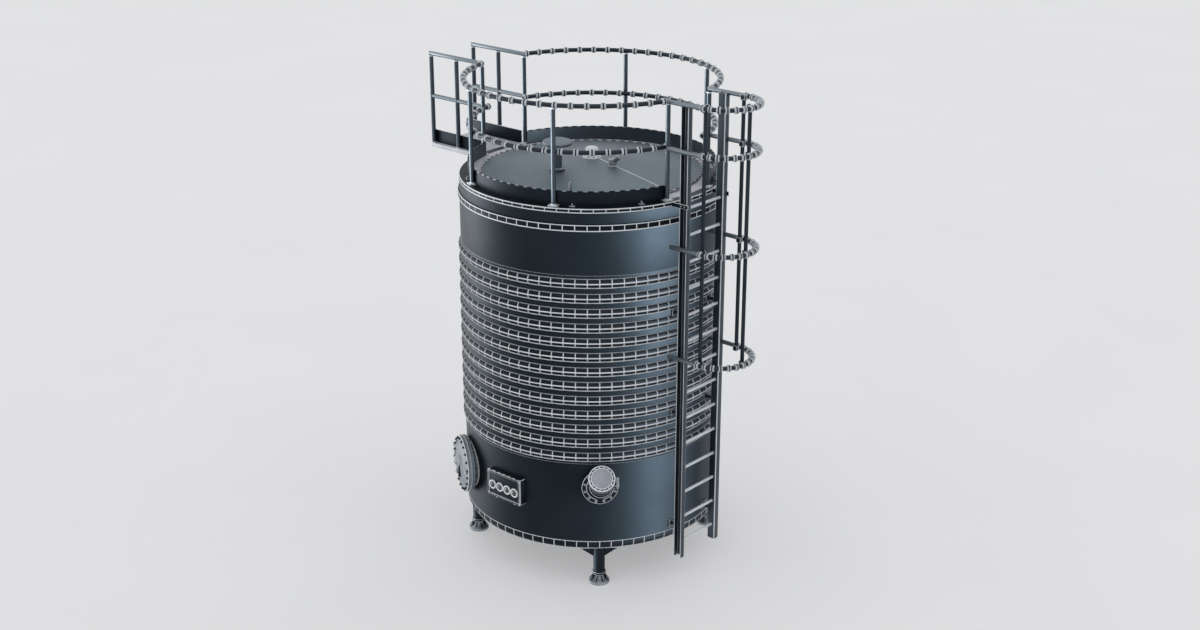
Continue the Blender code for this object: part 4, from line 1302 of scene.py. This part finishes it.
# Guard rail: rolled top and mid rails with couplings, posts on bolted base plates.
railStyle = {
    "tube": 0.024,
    "post": 0.025,
    "circle": 1.40,
    "midCircle": 1.3507,
    "top": 5.472,
    "mid": 4.975,
    "posts": {"bridge": -76.0, "left": -25.5, "right": 25.5, "ladder": 76.0},
    "base": (1.3765, 1.447, 0.052),     # near and far end of a post's base plate, and half its width
    "baseTop": 0.010,                   # above the deck
    "baseBolts": ((1.389, 1.433), 0.038),
    "couplingPitch": 0.1635,
    "coupling": (0.056, 0.038),     # length and radius of the pale couplings on the bent rails
}


# Pale round couplings, each with a dark rubber seal in its middle groove, at even spacing along the bent rails.
def railCouplings(name, paths, length, pitch):
    tube, radius = railStyle["tube"] - 0.002, railStyle["coupling"][1]
    half, groove = length / 2, length * 0.16
    outline = [(tube, -half), (tube + 0.005, -half), (radius - 0.006, -half * 0.84), (radius - 0.001, -half * 0.60),
               (radius, -half * 0.46), (radius - 0.001, -groove), (radius - 0.009, -groove)]
    outline += [(reach, -along) for reach, along in reversed(outline)]
    finishMesh(name + "_couplings", pathOf(lathePart(outline, 20), paths, pitch, couplingSteel), [],
               slot="edge_steel", angle=50.0)
    seal = groove - 0.0005
    outline = [(tube, -seal), (radius - 0.004, -seal), (radius - 0.004, seal), (tube, seal)]
    finishMesh(name + "_seals", pathOf(lathePart(outline, 20), paths, pitch, blackRubber), [], slot="rail_steel")


# A bright collar round a post.
def collarAt(x, height):
    post = railStyle["post"]
    inner, soft, outer = post - 0.002, post + 0.0028, post + 0.004
    outline = [(inner, -0.006), (soft, -0.006), (outer, -0.003), (outer, 0.003), (soft, 0.006), (inner, 0.006)]
    return movePart(paintPart(lathePart(outline, 16), 1), shift(x, z=height))


def makeGuardRail():
    style = railStyle
    tube, circle = style["tube"], style["circle"]
    corner = style["posts"]["ladder"]
    gap = tube + touchGap
    ladderStop = degrees(acos((ladderStyle["outer"] + 2 * gap) / (circle - tube)))
    bridgeStop = degrees(acos((circle * cos(radians(corner)) + gap) / (circle - tube)))
    paths = []
    for side, start, stop in (("front", -bridgeStop, ladderStop), ("back", -ladderStop, bridgeStop)):
        turn = frontAndBack[side][1]
        for label, arc in (("top", (circle, turn + start, turn + stop)),
                           ("mid", (style["midCircle"], turn - corner - 1.0, turn + corner + 1.0))):
            path = arcPath(*arc, style[label], 96)
            finishPiece(label + "_rail_rolled_" + side, tubePart(path, tube), [bentCoat],
                        [label + "_rail_" + side], "rail_steel")
            paths.append(path)
    railCouplings("guard_rail", paths, style["coupling"][0], style["couplingPitch"])

    deckTop = high("deck_ring").z
    plateTop = deckTop + style["baseTop"]
    near, far, half = style["base"]
    boltsX, boltY = style["baseBolts"]
    for side, (sign, turn) in frontAndBack.items():
        for label, offset in style["posts"].items():
            node = "post_" + side + "_" + label
            bottom, top = heights(node)
            part = rodPart((circle, 0, bottom + 0.008), (circle, 0, top), style["post"], 40)
            mergePart(part, boxPart((near, -half, deckTop + touchGap), (far, half, plateTop), 0.002))
            for face in part.faces:
                if abs(face.calc_center_median().z - deckTop) < style["baseTop"] + 0.002:
                    face.material_index = 1
            addBolts(part, 0.0075, [(x, y, plateTop) for y in (-boltY, boltY) for x in boltsX])
            for height in (top - 0.006, deckTop + 0.016):
                mergePart(part, collarAt(circle, height))
            movePart(part, outward(turn - sign * offset))
            finishPiece(node + "_based", part, [railCoat, edgeHighlightSteel, boltZinc], [node], "rail_steel")
    print("guard rail made")


# Ladder: channel stiles, ribbed round rungs, wall brackets with bolted pads, landing bars.
ladderStyle = {
    "near": 1.53,
    "far": 1.63,
    "inner": 0.27,
    "outer": 0.34,
    "web": 0.008,
    "highlightSlant": 0.007,           # slant at the web's two long corners, painted bright as an edge highlight
    "bottom": 0.27,
    "top": 5.482,
    "rungs": 14,
    "firstRung": 0.45,
    "rungPitch": 0.30,
    "rung": 0.015,
    "brackets": (0.65, 2.01, 3.1785),
    "padFace": 1.462,
    "barBolts": (1.555, 1.605),     # on the landing bars
}


def makeLadder():
    style = ladderStyle
    near, far, inner, outer, web, highlightSlant = pick(style, "near", "far", "inner", "outer", "web", "highlightSlant")
    channel = [(near, outer), (near, inner + highlightSlant), (near + highlightSlant, inner), (far - highlightSlant, inner), (far, inner + highlightSlant),
               (far, outer), (far - web, outer), (far - web, inner + web), (near + web, inner + web),
               (near + web, outer)]
    part = startPart()
    for sign in (-1, 1):
        stile = platePart([(x, sign * y) for x, y in channel], style["top"] - style["bottom"], 0.0015)
        # The slanted faces and the flanges' outer tips take look 1, bright edge steel painted as edge highlights.
        for face in stile.faces:
            slanted = abs(face.normal.z) < 0.1 and min(abs(face.normal.x), abs(face.normal.y)) > 0.5
            if slanted or abs(face.calc_center_median().y) > outer - 0.0005:
                face.material_index = 1
        mergePart(part, stile, shift(z=style["bottom"]))
    middle = (near + far) / 2
    run = style["rungs"], (0, 0, style["firstRung"]), (0, 0, style["rungPitch"])
    rung = rodPart((middle, -inner - 0.004, 0), (middle, inner + 0.004, 0), style["rung"] - 0.0012, 20)
    for turn in range(0, 360, 45):
        x, z = middle + cos(radians(turn)) * 0.0138, sin(radians(turn)) * 0.0138
        mergePart(rung, rodPart((x, -inner, z), (x, inner, z), 0.0022, 6))
    mergeMesh(part, lineOf(rung, *run), None, 1)
    collar = startPart()
    for sign in (-1, 1):
        mergePart(collar, lathePart([(0.012, -0.004), (0.019, -0.004), (0.0165, 0.004), (0.012, 0.004)], 20),
                  shift(middle, sign * (inner - 0.002)) @ spin(90 * sign, "X"))
    mergeMesh(part, lineOf(collar, *run), None, 1)
    padFace = style["padFace"]
    for height in style["brackets"]:
        for sign in (-1, 1):
            for x0, x1, start, end, rise in ((1.40, near + web / 2, inner + 0.015, inner + 0.027, 0.025),
                                             (1.38, padFace, inner - 0.028, inner + 0.070, 0.045)):
                y0, y1 = sorted((sign * start, sign * end))
                plate = boxPart((x0, y0, height - rise), (x1, y1, height + rise), 0.003)
                mergePart(part, cutPart(plate, shellCutter(height - 0.2, height + 0.2)))
    addBolts(part, 0.009, [(padFace, sign * (inner + 0.052), height + z) for height in style["brackets"]
                           for sign in (-1, 1) for z in (-0.028, 0.028)], layDown)
    finishPiece("ladder_with_rungs", part, [railCoat, edgeHighlightSteel, boltZinc], ["ladder"])

    for side, (sign, _) in frontAndBack.items():
        node = "landing_bar_" + side
        lowCorner, highCorner = low(node), high(node)
        part = boxPart((1.40, lowCorner.y, lowCorner.z), highCorner, 0.004)
        part = cutPart(part, shellCutter(*deckRange))
        edge = highCorner.y if sign > 0 else lowCorner.y
        addBolts(part, 0.0085, [(x, edge, (lowCorner.z + highCorner.z) / 2) for x in style["barBolts"]],
                 spin(-90 * sign, "X"))
        finishPiece(node + "_bolted", part, [slateCoat, edgeHighlightSteel, boltZinc], [node], "edge_steel")
    print("ladder made")


# Safety cage: four loops and three upright bars bolted inside them.
cageStyle = {
    "centre": 1.83,
    "loopY": 0.3643,
    "bar": 0.021,
    "loops": {"cage_loop_low": 2.6775, "cage_loop_high": 3.92, "cage_loop_mid_rail": railStyle["mid"],
              "cage_loop_top_rail": railStyle["top"]},
    "barAngles": {"front": -90.0, "outer": 0.0, "back": 90.0},
    "coupling": (0.046, 0.088),     # length and pitch
}


def makeCage():
    style = cageStyle
    centre, loopY, bar = style["centre"], style["loopY"], style["bar"]
    curved = []
    for node, height in style["loops"].items():
        start = low(node).x
        arc = [Vector((centre + loopY * cos(radians(turn)), loopY * sin(radians(turn)), height))
               for turn in range(-90, 91, 5)]
        part = tubePart([(start, -loopY, height), *arc, (start, loopY, height)], railStyle["tube"])
        for face in part.faces:
            face.material_index = 1 if face.calc_center_median().x < centre - 0.002 else 0
        finishPiece(node + "_bent", part, [bentCoat, paleCoat], [node], "rail_steel")
        curved.append(arc)
    railCouplings("cage", curved, *style["coupling"])
    for label, angle in style["barAngles"].items():
        node = "cage_bar_" + label
        bottom, top = heights(node)
        x, y, _ = (low(node) + high(node)) / 2
        part = rodPart((x, y, bottom), (x, y, top), bar, 40, 0.003)
        for height in style["loops"].values():
            clip = boxPart((-0.006, -0.028, -0.030), (0.004, 0.028, 0.030), 0.003)
            addBolts(clip, 0.006, [(-0.006, across, along) for across in (-0.020, 0.020)
                                   for along in (-0.020, 0.020)], spin(-90, "Y"))
            mergePart(part, clip, shift(x, y, height) @ spin(angle, "Z") @ shift(-bar))
        finishPiece(node + "_clipped", part, [bentCoat, edgeHighlightSteel, boltZinc], [node], "rail_steel")
    print("cage made")


# Bridge: chequer deck between bright-edged sides, and railed panels.
bridgeStyle = {
    "end": 2.2183,
    "boardTop": 4.57,
}


def makeBridge():
    lowCorner, highCorner = low("bridge_deck"), high("bridge_deck")
    part = boxPart((lowCorner.x, -highCorner.y, lowCorner.z), (-1.30, highCorner.y, highCorner.z), 0.004)
    finishPiece("bridge_deck_plate", cutPart(part, shellCutter(*deckRange)), [deckPaint, edgeHighlightSteel], ["bridge_deck"],
                "deck_steel")
    finishTreads("bridge_treads", shellRadius + 0.022, 3.0, (lowCorner.x + 0.02, -0.27, 0), (0.0, 0.27, 0),
                 highCorner.z)

    tube, post, top, mid = pick(railStyle, "tube", "post", "top", "mid")
    first = onTank(railStyle["posts"]["bridge"], railStyle["circle"], 0)
    last = -bridgeStyle["end"] + post
    deck = high("deck_ring").z + touchGap
    for side, (sign, _) in frontAndBack.items():
        node = "bridge_rail_" + side
        y = sign * abs(first.y)
        part = startPart()
        for x in (last, (first.x + last) / 2):
            mergePart(part, rodPart((x, y, deck), (x, y, top), post, 40), None, 2)
            for height in (deck + 0.008, top - tube - 0.004):
                mergePart(part, collarAt(x, height), shift(y=y))
        mergePart(part, rodPart((last - post, y, top), (first.x + 0.02, y, top), tube, 40, 0.003))
        mergePart(part, rodPart((last, y, mid), (first.x - post - touchGap, y, mid), tube, 40))
        near = abs(first.y) - post + 0.004
        y0, y1 = sorted((sign * near, sign * (near - 0.010)))
        board = boxPart((last - post + 0.002, y0, deck),
                        (first.x - post - touchGap, y1, bridgeStyle["boardTop"]), 0.004)
        for face in board.faces:
            face.material_index = 1 if face.material_index == 1 else 3
        mergePart(part, board)
        finishPiece(node + "_welded", part, [paleCoat, edgeHighlightSteel, railCoat, slateCoat], [node], "rail_steel")
    print("bridge made")


for make in (makeShell, makeJacket, makeManway, makeMixer, makeControlBox, makeLegs, makeDeck, makeRoof,
             makeGuardRail, makeLadder, makeCage, makeBridge):
    make()


# Camera at the picture's viewing angle, floor and light.
cameraStyle = {
    "place": (11.959, -13.311, 9.4536),
    "aim": (0.12, 0.0, 2.72),
    "lens": 50.0,
    "sensor": 36.0,
    "clipEnd": 400.0,
}
stageStyle = {
    "floorRadius": 160.0,
    "background": "E0E1E2",
    "overhead": (0.42, 150.0),      # energy, and angle of the wide light from above
    "floorLight": 2.22,
    "sunAngle": 35.0,
    "sunHeight": -0.12,             # a sun's height for each metre out, a little below level
}
# Two low, wide suns draw the upright bands of light on the shell. The floor, the thin pale lines and what
# stands in front of the shell are left out of their light and shadow. A third lights the posts' left sides.
sunStyles = {
    "right": {"azimuth": 100.0, "energy": 7.0},
    "left": {"azimuth": -72.0, "energy": 1.6},
    "posts": {"azimuth": -48.0, "energy": 4.5},
}
paleLines = ["base_seams", "base_bars", "flange_bars", "deck_edge_bars", "hoop_crests", "hoop_welds_lower",
             "hoop_welds_upper", "hoop_joints"]
shellPieces = ["bottom_head_dish", "base_band", "lower_course_rolled", "jacket_course_rolled", "upper_course_rolled",
               "heating_hoops", "platform_drum_rolled", "toe_board_back_rolled"]
uprights = ["leg_gusseted_" + label for label in legStyle["azimuths"]]
uprights += ["post_" + side + "_" + label + "_based" for side in frontAndBack for label in railStyle["posts"]]
clearOfShell = ["ladder_with_rungs", "landing_bar_front_bolted", "landing_bar_back_bolted", "cage_couplings",
                "cage_seals", *(node + "_bent" for node in cageStyle["loops"]),
                *("cage_bar_" + label + "_clipped" for label in cageStyle["barAngles"])]


def linkGroup(name, things, state):
    group = bpy.data.collections.new(name)
    for thing in things:
        group.objects.link(bpy.data.objects[thing])
    for entry in group.collection_objects:
        entry.light_linking.link_state = state
    return group


def addSun(name, energy, receivers=None, blockers=None):
    sun = linkThing(name, bpy.data.lights.new(name, "SUN"))
    sun.data.energy = energy
    sun.light_linking.receiver_collection = receivers
    sun.light_linking.blocker_collection = blockers
    return sun


def makeStage():
    camera = linkThing("camera", bpy.data.cameras.new("camera"))
    camera.data.lens = cameraStyle["lens"]
    camera.data.sensor_width = cameraStyle["sensor"]
    camera.data.clip_end = cameraStyle["clipEnd"]
    camera.location = Vector(cameraStyle["place"]) + tankAxis
    aim = Vector(cameraStyle["aim"]) + tankAxis
    camera.rotation_euler = (aim - camera.location).to_track_quat("-Z", "Y").to_euler()
    bpy.context.scene.camera = camera

    style = stageStyle
    part = startPart()
    bmesh.ops.create_circle(part, cap_ends=True, segments=64, radius=style["floorRadius"])
    floor = loneObject("floor", part)
    floor.data.materials.append(floorPaint)

    world = bpy.data.worlds.new("studio")
    world.use_nodes = True
    tree = world.node_tree
    setInputs(tree, tree.nodes["Background"], {"Color": hexColour(style["background"]), "Strength": 1.0})
    bpy.context.scene.world = world
    bpy.context.scene.view_settings.view_transform = "Standard"

    energy, width = style["overhead"]
    addSun("overhead", energy).data.angle = radians(width)
    receivers = {"right": linkGroup("shell in the right sun", shellPieces, "INCLUDE"),
                 "left": linkGroup("out of the left sun", ["floor"] + paleLines, "EXCLUDE"),
                 "posts": linkGroup("uprights in the post sun", uprights, "INCLUDE")}
    blockers = linkGroup("casts no sun shadow", ["floor"] + clearOfShell, "EXCLUDE")
    # The floor has a light of its own that the tank doesn't shade, so its shadow stays faint.
    alone = linkGroup("floor alone", ["floor"], "INCLUDE")
    addSun("floor light", style["floorLight"], alone, alone)
    for name, sunStyle in sunStyles.items():
        sun = addSun(name, sunStyle["energy"], receivers[name], blockers)
        sun.data.angle = radians(style["sunAngle"])
        away = onTank(sunStyle["azimuth"], 1.0, style["sunHeight"])
        sun.rotation_euler = (-away).to_track_quat("-Z", "Y").to_euler()
    print("camera and light made")


makeStage()
